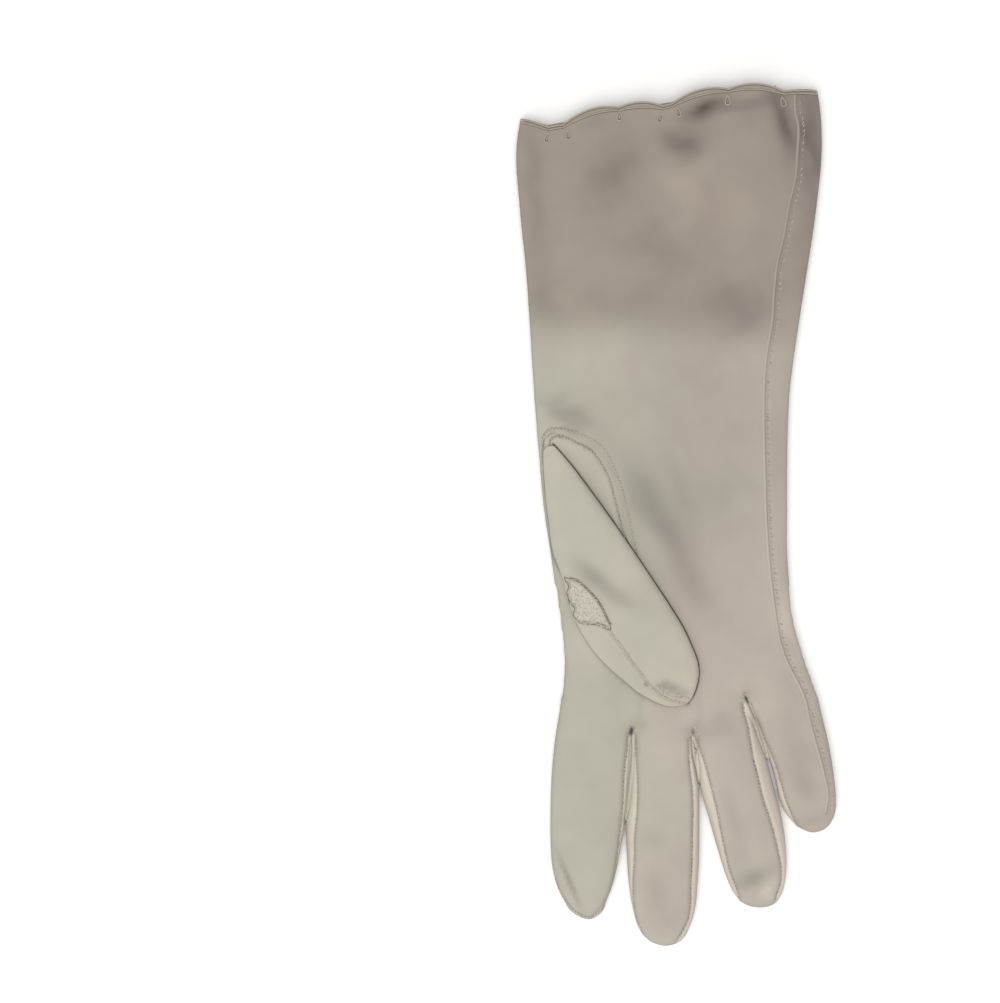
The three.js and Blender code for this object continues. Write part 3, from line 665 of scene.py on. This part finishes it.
thumb = {
    "edgeShare": 0.34, "power": 7.0, "around": 64, "stations": 60, "base": 5.0, "top": 12.8, "inset": 0.3,
    "x": -43.5, "y": 26.7, "turn": 27.74, "clearance": 0.25, "pitch": (0.95, 0.95, 0.85),
    # share of its height that it loses past the seam, and how far the gusset lies in its raised lip
    "stepDown": 0.62, "gussetDepth": 1.3, "gussetLip": 0.3,
    "rows": [
        (-1, -2.2, -0.3, 5.7), (-3.4, -3.6, 0.2, 6.3), (-8, -5.9, 1.3, 7.6), (-13.6, -8.4, 2.5, 9),
        (-20, -11.1, 3.5, 10.3), (-26.5, -13.5, 4.5, 11.2), (-34, -16.3, 5.5, 11.9),
        (-41.5, -17.7, 6.5, 12.4), (-46, -18.2, 7, 12.6), (-51, -19.8, 7.6, 12.7), (-56.6, -20.5, 8.2, 12.8),
        (-61.4, -21, 8.7, 12.8), (-71, -20.5, 9.6, 12.8), (-80, -18.1, 10.1, 12.7), (-86.5, -15.5, 9.7, 12.5),
        (-91.3, -13.5, 9.1, 12.2), (-95, -11.2, 7.7, 11.9), (-98, -8.9, 5.5, 11.4), (-100.3, -6.5, 3.1, 10.8),
        (-101.4, -4.5, 1.5, 10.1), (-101.9, -3.1, 0.3, 9.6),
    ],
}
thumbDents = [
    (-28, -20.8, 8, 3, -38, 0.65), (-19.5, -28, 7, 3, -30, 0.4), (-11.5, -29.5, 9, 5, -50, 0.16),
    (-1.7, -58.4, 3.6, 1.7, -12, 0.8), (-4.6, -57.2, 2.6, 1.4, 40, 0.4), (2.4, -60.4, 2.4, 1.2, 20, 0.4),
]


def buildThumbSkin():
    bm = bmesh.new()
    bm.verts.layers.float.new("turn")
    addLoft(bm, thumb["rows"], thumb, True)
    root = Matrix.Translation(Vector((thumb["x"], thumb["y"], 0)) * mm)
    bm.transform(root @ Matrix.Rotation(math.radians(thumb["turn"]), 4, "Z"))
    skin = evenSkin(bm, thumb["pitch"], thumb["inset"])
    refineNear(skin, [stepLine, closed(gussetLine), foldLine, lowerLine, leftLine], 1.4)
    return skin


# Lays the thumb on the palm, steps it down past its seam, and presses its dents in, with painted shade in the
# dents, along the step and at the thumb's foot on the palm.
def pressThumb(points):
    flat = points[:, :2]
    palm = np.array([(surfaceAt(handTree, x, y) or (0.0, None))[0] for x, y in flat])
    lowest = palm + thumb["clearance"]
    base, top = thumb["base"], thumb["top"]
    rise = np.maximum(points[:, 2] - base, 0) * (top - lowest) / (top - base)
    away = lineDistance(flat, stepLine)
    beyondSeam = np.interp(flat[:, 0], stepLine[:, 0], stepLine[:, 1]) > flat[:, 1]
    beyondSeam &= flat[:, 0] > stepLine[0, 0]
    low = np.where(beyondSeam, smoothStep(away, 0.0, 1.3), 0.0)
    upper = smoothStep(rise, 0.4, 1.6)
    drop = bellSum(thumbDents, flat)
    shade = 0.5 * drop
    drop += 0.3 * bell(away, 0.45)
    shade += 0.25 * bell(away, 0.35)
    inGusset = outlineDepth(flat, gussetLine)
    drop += thumb["gussetDepth"] * smoothStep(inGusset, -0.2, 0.8)
    drop -= thumb["gussetLip"] * bell(inGusset + 0.5, 0.5)
    z = np.maximum(lowest + rise * (1 - thumb["stepDown"] * low) - drop * upper, lowest)
    shade *= upper
    # painted shade at the thumb's foot, where it meets the palm
    foot = 1 - smoothStep(rise, 0.2, 1.2)
    shade += 0.28 * foot * smoothStep(24 - flat[:, 1], 4, 16)
    return np.column_stack([flat, z]), np.clip(shade, lightest, darkest)


thumbSkin = buildThumbSkin()
gussetFaces = snapTo(thumbSkin, lambda spots: outlineDepth(spots[:, :2], gussetLine))
gussetFaces = [face for face in gussetFaces if face.normal.z > 0.1]
pieces["thumb_gusset"] = takeOut(thumbSkin, gussetFaces)
for bm in (thumbSkin, pieces["thumb_gusset"]):
    moved, shade = pressThumb(pointsOf(bm))
    setShade(bm, moved, shade)
thumbTree = BVHTree.FromBMesh(thumbSkin)
print("thumb", len(thumbSkin.faces), "triangles")


# Threads

stitchBead = bmesh.new()
bmesh.ops.create_uvsphere(stitchBead, u_segments=6, v_segments=4, radius=mm)
stitchForm = meshOf(stitchBead, "stitch")


# Adds one stitch: a small pointed bead of thread, lying along one direction.
def addStitch(bm, place, along, up, size):
    along = along.normalized()
    side = up.cross(along).normalized()
    up = along.cross(side)
    turn = Matrix((along * size[0], side * size[1], up * size[2])).transposed().to_4x4()
    form = stitchForm.copy()
    form.transform(Matrix.Translation(place) @ turn)
    addMesh(bm, form)


# Lays stitches along a line on a surface. Slant turns them from the line's direction.
def stitchLine(bm, tree, line, spacing, size, slant=0.0, aside=0.0, lift=0.05, jitter=0.1, start=0.0):
    along = lengthsOf(line)
    at = start
    while at < along[-1]:
        x, y = pointAt(line, along, at)
        direction = Vector((*pointAt(line, along, at + 0.4) - pointAt(line, along, at - 0.4), 0)).normalized()
        sideways = Vector((-direction.y, direction.x, 0))
        x += sideways.x * aside + rng.uniform(-jitter, jitter) * 0.5
        y += sideways.y * aside + rng.uniform(-jitter, jitter) * 0.5
        found = surfaceAt(tree, x, y)
        if found:
            z, normal = found
            lean = direction * math.cos(slant) + sideways * math.sin(slant)
            lean = lean - normal * lean.dot(normal)
            scale = 1 + rng.uniform(-jitter, jitter)
            addStitch(bm, Vector((x, y, z + lift)) * mm, lean, normal, [s * scale for s in size])
        at += spacing * (1 + rng.uniform(-jitter, jitter))


# Threads along lines of points as round tubes; points are in millimetres.
def threadMesh(lines, radius, ring=False):
    curve = bpy.data.curves.new("thread", "CURVE")
    curve.dimensions = "3D"
    curve.bevel_depth = radius * mm
    curve.bevel_resolution = 1
    curve.use_fill_caps = not ring
    for line in lines:
        spline = curve.splines.new("POLY")
        spline.points.add(len(line) - 1)
        spline.use_cyclic_u = ring
        for point, (x, y, z) in zip(spline.points, line):
            point.co = (x * mm, y * mm, z * mm, 1)
    return bakedMesh(newObject("thread", curve))


def onSurface(tree, line, lift):
    placed = []
    for x, y in line:
        found = surfaceAt(tree, x, y)
        if found:
            placed.append((x, y, found[0] + lift))
    return placed


# Scalloped border: satin stitches over the cut edge, an inner stitched line and drops

border = {
    "valleyWidth": 1.1, "humpWidth": 1.0, "satinSpacing": 0.34, "satinHalfThickness": 0.17,
    "beadRadius": 0.42, "cordRadius": 0.2, "shadowThreadRadius": 0.15,
    # satin stitches: how far they pass the cut edge, lie down in the cloth, run on and are wide
    "overhang": 0.25, "sunk": 0.12, "runOn": 0.2, "satinHalfWidth": 0.42,
    # drops below the joins: x, y of the middle, turn in degrees
    "drops": [
        (-43.8, 127.8, -18), (-36.7, 128.6, 5), (-19.4, 134.9, -4), (-5.4, 134.3, -25), (0.5, 136.3, 10),
        (17.3, 140.3, 0), (36.2, 140.1, 16),
    ],
    "dropHalfLength": 1.6, "dropHalfWidth": 0.95,
}


# The mouth's edge as one closed ring of points with the upward direction of the cloth there.
def mouthLoop(bm):
    mouth = [edge for edge in bm.edges if edge.is_boundary]
    mouth = [edge for edge in mouth if cuffField(np.array([edge.verts[0].co / mm]))[0] > -0.4]
    links = {}
    for edge in mouth:
        for vert in edge.verts:
            links.setdefault(vert, []).append(edge.other_vert(vert))
    start = min(links, key=lambda vert: vert.co.x)
    loop, previous, here = [start], None, start
    while True:
        following = [vert for vert in links[here] if vert is not previous]
        following = [vert for vert in following if vert not in loop[1:]] or following
        ahead = following[0]
        if ahead is start or len(loop) > 6000:
            break
        loop.append(ahead)
        previous, here = here, ahead
    return np.array([vert.co for vert in loop]) / mm, [vert.normal.copy() for vert in loop]


def buildBorders():
    pieces["trank"].normal_update()
    ring, normals = mouthLoop(pieces["trank"])
    along = lengthsOf(closed(ring))
    count = int(along[-1] / border["satinSpacing"])
    at = np.linspace(0, along[-1], count, endpoint=False)
    smooth = pointAt(closed(ring), along, at)
    for _ in range(3):
        smooth = (np.roll(smooth, 1, axis=0) + 2 * smooth + np.roll(smooth, -1, axis=0)) / 4
    upward = pointAt(np.array(normals + normals[:1]), along, at)
    tangent = np.roll(smooth, -1, axis=0) - np.roll(smooth, 1, axis=0)
    sides = {"palm": bmesh.new(), "back": bmesh.new()}
    for i, spot in enumerate(smooth):
        side = "palm" if spot[2] > cuff["foldLevel"] else "back"
        _, hump = scallopAt(cuff[side], np.array([spot[0]]))
        width = border["valleyWidth"] + border["humpWidth"] * (hump[0] if side == "palm" else 0.3)
        up = Vector(upward[i]).normalized()
        run = Vector(tangent[i]).normalized()
        inward = up.cross(run)
        if inward.y > 0:
            inward = -inward
        middle = Vector(spot) + inward * (width / 2 - border["overhang"]) - up * border["sunk"]
        size = (width / 2 + border["runOn"], border["satinHalfThickness"], border["satinHalfWidth"])
        addStitch(sides[side], middle * mm, inward, up, size)
    for side, bm in sides.items():
        chosen = (smooth[:, 2] > cuff["foldLevel"]) if side == "palm" else (smooth[:, 2] <= cuff["foldLevel"])
        first = next(i for i in range(count) if chosen[i] and not chosen[i - 1])
        run = [i % count for i in range(first, first + count) if chosen[i % count]]
        bead = [smooth[i] + np.array([0, -0.3, -0.25 if side == "palm" else 0.25]) for i in run[::2]]
        addMesh(bm, threadMesh([bead], border["beadRadius"]))
    return sides


borderMeshes = buildBorders()

darkThreads = bmesh.new()
paleThreads = bmesh.new()
shadowThreads = bmesh.new()
borderX = np.linspace(-51.8, 47.8, 340)
palmY, hump = scallopAt(cuff["palm"], borderX)
borderFoot = border["valleyWidth"] + border["humpWidth"] * hump
# Two pale cords run along the border's edge and foot, each with a dark thread inside it, laid as painted
# shadow beside the cord
for inwards, lift, bm, radius in (
    (0.22, 0.26, borderMeshes["palm"], "cordRadius"),
    (borderFoot - 0.1, 0.22, borderMeshes["palm"], "cordRadius"),
    (0.58, 0.24, shadowThreads, "shadowThreadRadius"),
    (borderFoot + 0.2, 0.0, shadowThreads, "shadowThreadRadius"),
):
    line = onSurface(handTree, np.column_stack([borderX, palmY - inwards]), lift)
    addMesh(bm, threadMesh([line], border[radius]))


def dropLine(x, y, turn, share=1.0):
    turn = math.radians(turn)
    line = []
    for i in range(26):
        angle = 2 * math.pi * i / 26
        across = share * border["dropHalfWidth"] * math.sin(angle) * math.sin(angle / 2) ** 1.4 * 1.25
        along = share * border["dropHalfLength"] * math.cos(angle)
        line.append((x + across * math.cos(turn) - along * math.sin(turn),
                     y + across * math.sin(turn) + along * math.cos(turn)))
    return line


# each drop is a pale loop with a dark loop inside it, laid as painted shadow
for row in border["drops"]:
    line = onSurface(handTree, dropLine(*row), 0.16)
    addMesh(borderMeshes["palm"], threadMesh([line], border["cordRadius"], ring=True))
    inside = onSurface(handTree, dropLine(*row, share=0.72), 0.08)
    addMesh(shadowThreads, threadMesh([inside], border["shadowThreadRadius"], ring=True))
print("borders and drops done")

# Seam stitches: pale ones, and dark ones that stand partly for soiled thread and partly for painted shade in
# the needle holes

for name, line in seamLines.items():
    lean = 0.9 if name.endswith("Right") else -0.9
    stitchLine(paleThreads, handTree, line, 1.25, (0.62, 0.16, 0.14), slant=lean, lift=0.06, jitter=0.25)
    stitchLine(darkThreads, handTree, line, 1.25, (0.42, 0.13, 0.1), slant=0.15 * lean, aside=0.1, lift=0.04,
               jitter=0.3, start=0.6)
stitchLine(darkThreads, handTree, sideLine, 1.5, (0.42, 0.15, 0.1), slant=0.9, aside=1.6, lift=0.04,
           jitter=0.5)
stitchLine(paleThreads, handTree, sideLine, 1.7, (0.46, 0.13, 0.12), slant=-0.6, aside=1.95, lift=0.05,
           jitter=0.5, start=0.7)
for line in (outerLine, holeLine[:34]):
    stitchLine(darkThreads, handTree, line, 1.15, (0.42, 0.16, 0.1), slant=0.7, lift=0.03, jitter=0.25)
    stitchLine(paleThreads, handTree, line, 1.15, (0.48, 0.16, 0.14), slant=-0.7, lift=0.07, jitter=0.25,
               start=0.55)
stitchLine(paleThreads, thumbTree, thumbSeamLine, 0.95, (0.5, 0.17, 0.16), slant=0.9, lift=0.08, jitter=0.3)
stitchLine(darkThreads, thumbTree, thumbSeamLine, 0.95, (0.36, 0.14, 0.1), slant=-0.3, lift=0.03, jitter=0.3,
           start=0.45)
# Arches round the three crotches
for x, y in ((-15, -73.4), (6, -74.6), (23.4, -62.6)):
    turns = np.linspace(-0.3, 3.44, 9)
    arch = smoothLine(np.column_stack([x + 1.3 * np.cos(turns), y + 0.4 + 2.2 * np.sin(turns)]), 0.5)
    stitchLine(paleThreads, handTree, arch, 0.55, (0.55, 0.15, 0.15), slant=1.0, lift=0.08, jitter=0.45)
    stitchLine(darkThreads, handTree, arch, 0.9, (0.34, 0.12, 0.1), slant=0.4, aside=0.4, lift=0.03,
               jitter=0.5)
# A rope of dark thread, laid as painted shadow, and pale thread along the gusset's upper edge, single
# stitches round the rest
ropeRadius = 0.19
ropeLine = besideLine(gussetLine, 0.28)
upperRope = ropeLine[2:int(len(ropeLine) * 0.46)]
addMesh(shadowThreads, threadMesh([onSurface(thumbTree, ropeLine, 0.02)], ropeRadius, ring=True))
addMesh(shadowThreads, threadMesh([onSurface(thumbTree, besideLine(upperRope, 0.42), 0.06)], ropeRadius))
stitchLine(paleThreads, thumbTree, besideLine(upperRope, 0.2), 0.85, (0.46, 0.13, 0.16), slant=0.75,
           lift=0.22, jitter=0.35)
stitchLine(paleThreads, thumbTree, ropeLine[len(upperRope):], 1.6, (0.36, 0.11, 0.13), slant=0.6, lift=0.14,
           jitter=0.45)
stitchLine(darkThreads, handTree, outerLine[:9], 0.8, (0.5, 0.2, 0.15), slant=0.8, aside=0.3, lift=0.05,
           jitter=0.3)
# The thumb's root at the outer edge
rootLine = smoothLine([
    (-45.5, 17.5), (-45.4, 21), (-45.2, 24), (-44.2, 26.1), (-42.4, 27.3), (-40.4, 27.3), (-37.8, 26.6),
], 0.5)
stitchLine(darkThreads, handTree, rootLine, 0.6, (0.45, 0.16, 0.12), slant=0.5, lift=0.04, jitter=0.35)
stitchLine(paleThreads, handTree, rootLine, 0.9, (0.42, 0.13, 0.12), slant=-0.6, aside=0.3, lift=0.05,
           jitter=0.4)
# Gathered stitches over the thumb's tip, and the loose loop where a thread was pulled
gather = smoothLine([(-7.3, -58), (-3.4, -60.3), (0.6, -61.9), (4.2, -62.9)], 0.5)
for aside in (-0.8, 0.0, 0.8):
    stitchLine(paleThreads, thumbTree, gather, 1.25, (0.75, 0.14, 0.15), slant=0.5 - aside, aside=aside,
               lift=0.06, jitter=0.5)
    stitchLine(darkThreads, thumbTree, gather, 1.9, (0.5, 0.1, 0.08), slant=-0.2 + aside, aside=aside,
               lift=0.02, jitter=0.5)
turns = np.linspace(0, 2 * math.pi, 12, endpoint=False)
pulled = np.column_stack([-10.4 + 0.62 * np.cos(turns), -57.4 + 0.5 * np.sin(turns)])
addMesh(darkThreads, threadMesh([onSurface(thumbTree, pulled, 0.08)], 0.16, ring=True))
print("stitches", len(paleThreads.faces) + len(darkThreads.faces), "faces")

# Side seam: the welt where the palm and back edges are sewn together on the right side

welt = {"halfWidth": 0.58, "height": 0.34}


def buildWelt():
    bm = bmesh.new()
    addMesh(bm, threadMesh([onSurface(handTree, smoothLine(sideSeam, 1.2), 0.0)], welt["halfWidth"]))
    for vert in bm.verts:
        x, y, z = vert.co / mm
        found = surfaceAt(handTree, x, y)
        if found:
            vert.co.z = (found[0] + (z - found[0]) * welt["height"] / welt["halfWidth"]) * mm
    smoothAll(bm, 0.4)
    return bm


weltMesh = buildWelt()


# Materials

def linear(code):
    channels = [int(code[i:i + 2], 16) / 255 for i in (1, 3, 5)]
    return tuple(c / 12.92 if c <= 0.04045 else ((c + 0.055) / 1.055) ** 2.4 for c in channels) + (1.0,)


# Adds one node with its settings and links; a link from a node means its first output.
def addNode(tree, kind, settings=None, links=None):
    node = tree.nodes.new("ShaderNode" + kind)
    for name, value in (settings or {}).items():
        if isinstance(name, str) and hasattr(node, name):
            setattr(node, name, value)
        else:
            node.inputs[name].default_value = value
    for socket, source in (links or {}).items():
        output = source.outputs[0] if isinstance(source, bpy.types.Node) else source
        tree.links.new(output, node.inputs[socket])
    return node


def startMaterial(name):
    material = bpy.data.materials.new(name)
    material.use_nodes = True
    material.node_tree.nodes.clear()
    return material, material.node_tree


# cuff: browner and darker than the hand, partly the cloth's own tone and partly painted shade
gloveCloth = {
    "cool": "#aaa79b", "warm": "#aca39a", "cuff": "#91867d", "darkest": 0.16, "mottle": 26.0,
    "threadPitch": 0.75,
}


# Fine double-woven fabric: dead matt, with an almost even face that takes soft warm and cool
# patches, a browner cuff that is partly painted shade, and painted shade in the creases and along the seams.
def clothMaterial(name, look):
    material, tree = startMaterial(name)
    place = {"Vector": addNode(tree, "TexCoord").outputs["Object"]}
    axes = addNode(tree, "SeparateXYZ", links=place)
    # warm and cool patches, warmer towards the side seam
    patches = addNode(tree, "TexNoise", {"Scale": look["mottle"], "Detail": 2.0, "Roughness": 0.5}, place)
    sideways = {"From Min": -0.05, "From Max": 0.045, "To Min": -0.22, "To Max": 0.22}
    across = addNode(tree, "MapRange", sideways, {"Value": axes})
    warmth = addNode(tree, "Math", {"operation": "ADD", "use_clamp": True}, {0: patches, 1: across})
    warmShare = addNode(tree, "MapRange", {"From Min": 0.38, "From Max": 0.62}, {"Value": warmth})
    warmOrCool = {"data_type": "RGBA", 6: linear(look["cool"]), 7: linear(look["warm"])}
    body = addNode(tree, "Mix", warmOrCool, {0: warmShare})
    # the cuff, browner and darker: partly the cloth's own tone, partly painted shade; with a wavering edge
    wobble = addNode(tree, "TexNoise", {"Scale": 18.0, "Detail": 1.0}, place)
    uneven = addNode(tree, "Math", {"operation": "MULTIPLY_ADD", 1: 0.03}, {0: wobble, 2: axes.outputs[1]})
    cuffRise = {"interpolation_type": "SMOOTHSTEP", "From Min": 0.066, "From Max": 0.094, "To Max": 0.82}
    cuffShare = addNode(tree, "MapRange", cuffRise, {"Value": uneven})
    browner = {"data_type": "RGBA", 7: linear(look["cuff"])}
    cuffed = addNode(tree, "Mix", browner, {0: cuffShare, 6: body.outputs[2]})
    # lighter and darker clouds, and the painted shade, painted light and soil that the shade attribute holds
    cloudy = addNode(tree, "TexNoise", {"Scale": 42.0, "Detail": 3.0, "Roughness": 0.55}, place)
    cloudRange = {"From Min": 0.3, "From Max": 0.7, "To Min": 0.93, "To Max": 1.05}
    tone = addNode(tree, "MapRange", cloudRange, {"Value": cloudy})
    shade = addNode(tree, "Attribute", {"attribute_name": "shade"}).outputs["Fac"]
    brightest = 1 - lightest * (1 - look["darkest"])
    shadeRange = {"From Min": lightest, "To Min": brightest, "To Max": look["darkest"]}
    paintedShadeAndSoil = addNode(tree, "MapRange", shadeRange, {"Value": shade})
    depth = addNode(tree, "Math", {"operation": "MULTIPLY"}, {0: tone, 1: paintedShadeAndSoil})
    toned = addNode(tree, "VectorMath", {"operation": "SCALE"}, {0: cuffed.outputs[2], 3: depth})
    # The real threads lie about 0.25 mm apart, too fine to show, so they are drawn three times as coarse.
    wave = {"Scale": 1 / (look["threadPitch"] * mm) / 3.2, "Distortion": 1.2, "Detail": 1.0}
    warp = addNode(tree, "TexWave", {"bands_direction": "X", **wave}, place)
    weft = addNode(tree, "TexWave", {"bands_direction": "Y", **wave}, place)
    weave = addNode(tree, "Math", {"operation": "MULTIPLY"}, {0: warp.outputs[1], 1: weft.outputs[1]})
    nap = addNode(tree, "TexNoise", {"Scale": 900.0, "Detail": 3.0, "Roughness": 0.6}, place)
    relief = addNode(tree, "Math", {"operation": "ADD"}, {0: weave, 1: nap})
    bump = addNode(tree, "Bump", {"Strength": 0.16, "Distance": 0.00012}, {"Height": relief})
    matt = {"Roughness": 0.93, "Sheen Weight": 0.12, "Sheen Roughness": 0.6, "Specular IOR Level": 0.2}
    shader = addNode(tree, "BsdfPrincipled", matt, {"Base Color": toned, "Normal": bump})
    addNode(tree, "OutputMaterial", links={0: shader})
    return material


# The reverse of the same fabric at the gusset: coarse and loopy, with pale specks, and painted
# shade in the small gaps between the loops.
def gussetMaterial():
    material, tree = startMaterial("looped reverse cloth")
    place = {"Vector": addNode(tree, "TexCoord").outputs["Object"]}
    loops = addNode(tree, "TexVoronoi", {"Scale": 1700.0, "Randomness": 1.0}, place)
    specks = addNode(tree, "TexNoise", {"Scale": 1500.0, "Detail": 2.0}, place)
    ramp = addNode(tree, "ValToRGB", links={0: loops})
    for element, colour, position in zip(ramp.color_ramp.elements, ("#bbb8ad", "#9c998e"), (0.4, 0.95)):
        element.color = linear(colour)
        element.position = position
    speckRange = {"From Min": 0.35, "From Max": 0.65, "To Min": 0.9, "To Max": 1.06}
    light = addNode(tree, "MapRange", speckRange, {"Value": specks})
    colour = addNode(tree, "VectorMath", {"operation": "SCALE"}, {0: ramp, 3: light})
    bump = addNode(tree, "Bump", {"Strength": 0.4, "Distance": 0.0002, "invert": True}, {"Height": loops})
    matt = {"Roughness": 0.95, "Specular IOR Level": 0.15}
    shader = addNode(tree, "BsdfPrincipled", matt, {"Base Color": colour, "Normal": bump})
    addNode(tree, "OutputMaterial", links={0: shader})
    return material


# Spun sewing thread: a little brighter than the cloth along its crown, with a faint silky sheen.
def threadMaterial(name, pale, deep, roughness):
    material, tree = startMaterial(name)
    place = {"Vector": addNode(tree, "TexCoord").outputs["Object"]}
    fibres = addNode(tree, "TexNoise", {"Scale": 1400.0, "Detail": 2.0}, place)
    mixed = addNode(tree, "Mix", {"data_type": "RGBA", 6: linear(deep), 7: linear(pale)}, {0: fibres})
    bump = addNode(tree, "Bump", {"Strength": 0.3, "Distance": 0.0001}, {"Height": fibres})
    silky = {"Roughness": roughness, "Sheen Weight": 0.2, "Specular IOR Level": 0.3}
    shader = addNode(tree, "BsdfPrincipled", silky, {"Base Color": mixed.outputs[2], "Normal": bump})
    addNode(tree, "OutputMaterial", links={0: shader})
    return material


clothLook = clothMaterial("double-woven cotton", gloveCloth)
# the steep strips get less light, so their copy of the cloth is painted paler: painted light
stripLitLook = clothMaterial("double-woven cotton strips painted light", {**gloveCloth, "cool": "#c0bbaf", "warm": "#c4bbb0"})
thumbLook = clothMaterial("double-woven cotton thumb", {**gloveCloth, "cool": "#b0ada1", "warm": "#b1aa9e"})
weltLook = clothMaterial(
    "folded cotton edge", {**gloveCloth, "cool": "#afa99f", "warm": "#b0a79d", "cuff": "#988d85"},
)
gussetLook = gussetMaterial()
paleThread = threadMaterial("ivory cotton thread", "#c4beb1", "#a8a294", 0.75)
borderThread = threadMaterial("mercerised embroidery thread", "#b8ada1", "#968c80", 0.6)
# dark stitches: partly soiled thread, partly painted shade in the needle holes beside the pale stitches
darkThread = threadMaterial("dark cotton thread, soil and painted shade", "#9d988b", "#847f73", 0.85)
# dark thread laid as painted shadow beside the pale cords, round the drops and along the gusset's edge
shadowThreadLook = threadMaterial("grey-brown thread laid as painted shadow", "#7d766b", "#635c52", 0.75)

# Finished pieces

wall = 0.8  # thickness of the cloth in millimetres; the CAD's stiff shell is 1 mm thick


# Cloth gets its thickness inwards from its face; threads are closed and only get smooth normals.
def finish(name, bm, material, nodes=(), thick=True):
    if not thick:
        bmesh.ops.recalc_face_normals(bm, faces=bm.faces)
    mesh = meshOf(bm, name)
    piece = newObject(name, mesh)
    for polygon in mesh.polygons:
        polygon.use_smooth = True
    mesh.materials.append(material)
    if thick:
        cloth = piece.modifiers.new("cloth", "SOLIDIFY")
        cloth.thickness = wall * mm
        cloth.offset = -1
        cloth.use_even_offset = False
    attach(piece, "root")
    if nodes:
        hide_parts(*nodes)
    print(name, len(mesh.polygons), "faces")
    return piece


trank = finish("trank_cloth", pieces["trank"], clothLook, ["trank"])
for name in strips:
    node = "fourchette_" + name
    finish("strip_" + name, pieces[node], stripLitLook, [node])
addMesh(thumbSkin, meshOf(pieces["thumb_base"], "base"))
thumbPiece = finish("thumb_cloth", thumbSkin, thumbLook, ["thumb"])
gusset = finish("gusset_cloth", pieces["thumb_gusset"], gussetLook, ["thumb_gusset"])
weltPiece = finish("side_welt", weltMesh, weltLook, ["side_seam_welt"], thick=False)
borderPalm, borderBack = (
    finish("border_" + side, bm, borderThread, ["scallop_border_" + side], thick=False)
    for side, bm in borderMeshes.items()
)
pale = finish("pale_stitches", paleThreads, paleThread, thick=False)
dark = finish("dark_stitches", darkThreads, darkThread, thick=False)
shadowThreadPiece = finish("border_shadow_threads", shadowThreads, shadowThreadLook, thick=False)

print("pieces finished")

# Floor, light and camera

floorForm = bmesh.new()
bmesh.ops.create_grid(floorForm, x_segments=2, y_segments=2, size=3.0)
bmesh.ops.translate(floorForm, verts=floorForm.verts, vec=(0, 0, -0.0004))  # just below the lowest threads
floor = newObject("floor", meshOf(floorForm, "floor"))
paper, paperTree = startMaterial("white paper")
paperGrain = addNode(paperTree, "TexNoise", {"Scale": 3.0})
whites = {"data_type": "RGBA", 6: linear("#f8f8f8"), 7: linear("#fbfbfb")}
paperTone = addNode(paperTree, "Mix", whites, {0: paperGrain})
flatWhite = {"Roughness": 0.9, "Specular IOR Level": 0.1}
paperShader = addNode(paperTree, "BsdfPrincipled", flatWhite, {"Base Color": paperTone.outputs[2]})
addNode(paperTree, "OutputMaterial", links={0: paperShader})
floor.data.materials.append(paper)

lamps = [
    # name, place, aim, size, watts
    ("overhead", (-0.15, -0.22, 1.45), (0.0, -0.02, 0.0), 1.2, 16.0),
    ("fingerSide", (-0.55, -0.75, 0.8), (0.0, -0.05, 0.0), 0.7, 2.6),
]
for name, place, aim, size, power in lamps:
    lamp = bpy.data.lights.new(name, "AREA")
    lamp.size = size
    lamp.energy = power
    lamp.color = (1.0, 0.985, 0.96)
    lampObject = newObject(name, lamp)
    lampObject.location = place
    lampObject.rotation_euler = (Vector(aim) - Vector(place)).to_track_quat("-Z", "Y").to_euler()

world = bpy.data.worlds.new("room")
bpy.context.scene.world = world
world.use_nodes = True
sky = world.node_tree.nodes["Background"]
sky.inputs["Color"].default_value = (1.0, 0.995, 0.985, 1.0)
sky.inputs["Strength"].default_value = 0.5

lens, sensor = 85, 36  # millimetres
cameraData = bpy.data.cameras.new("camera")
cameraData.lens = lens
cameraData.sensor_width = sensor
camera = newObject("camera", cameraData)
pictureCentre = (-0.0598, 0.0044)
pictureHeight = 0.34102  # what the picture's long side spans at the glove
focus = 0.005  # height of the palm above the floor
camera.location = (pictureCentre[0], pictureCentre[1], focus + pictureHeight * lens / sensor)
bpy.context.scene.camera = camera
bpy.context.scene.view_settings.view_transform = "Standard"
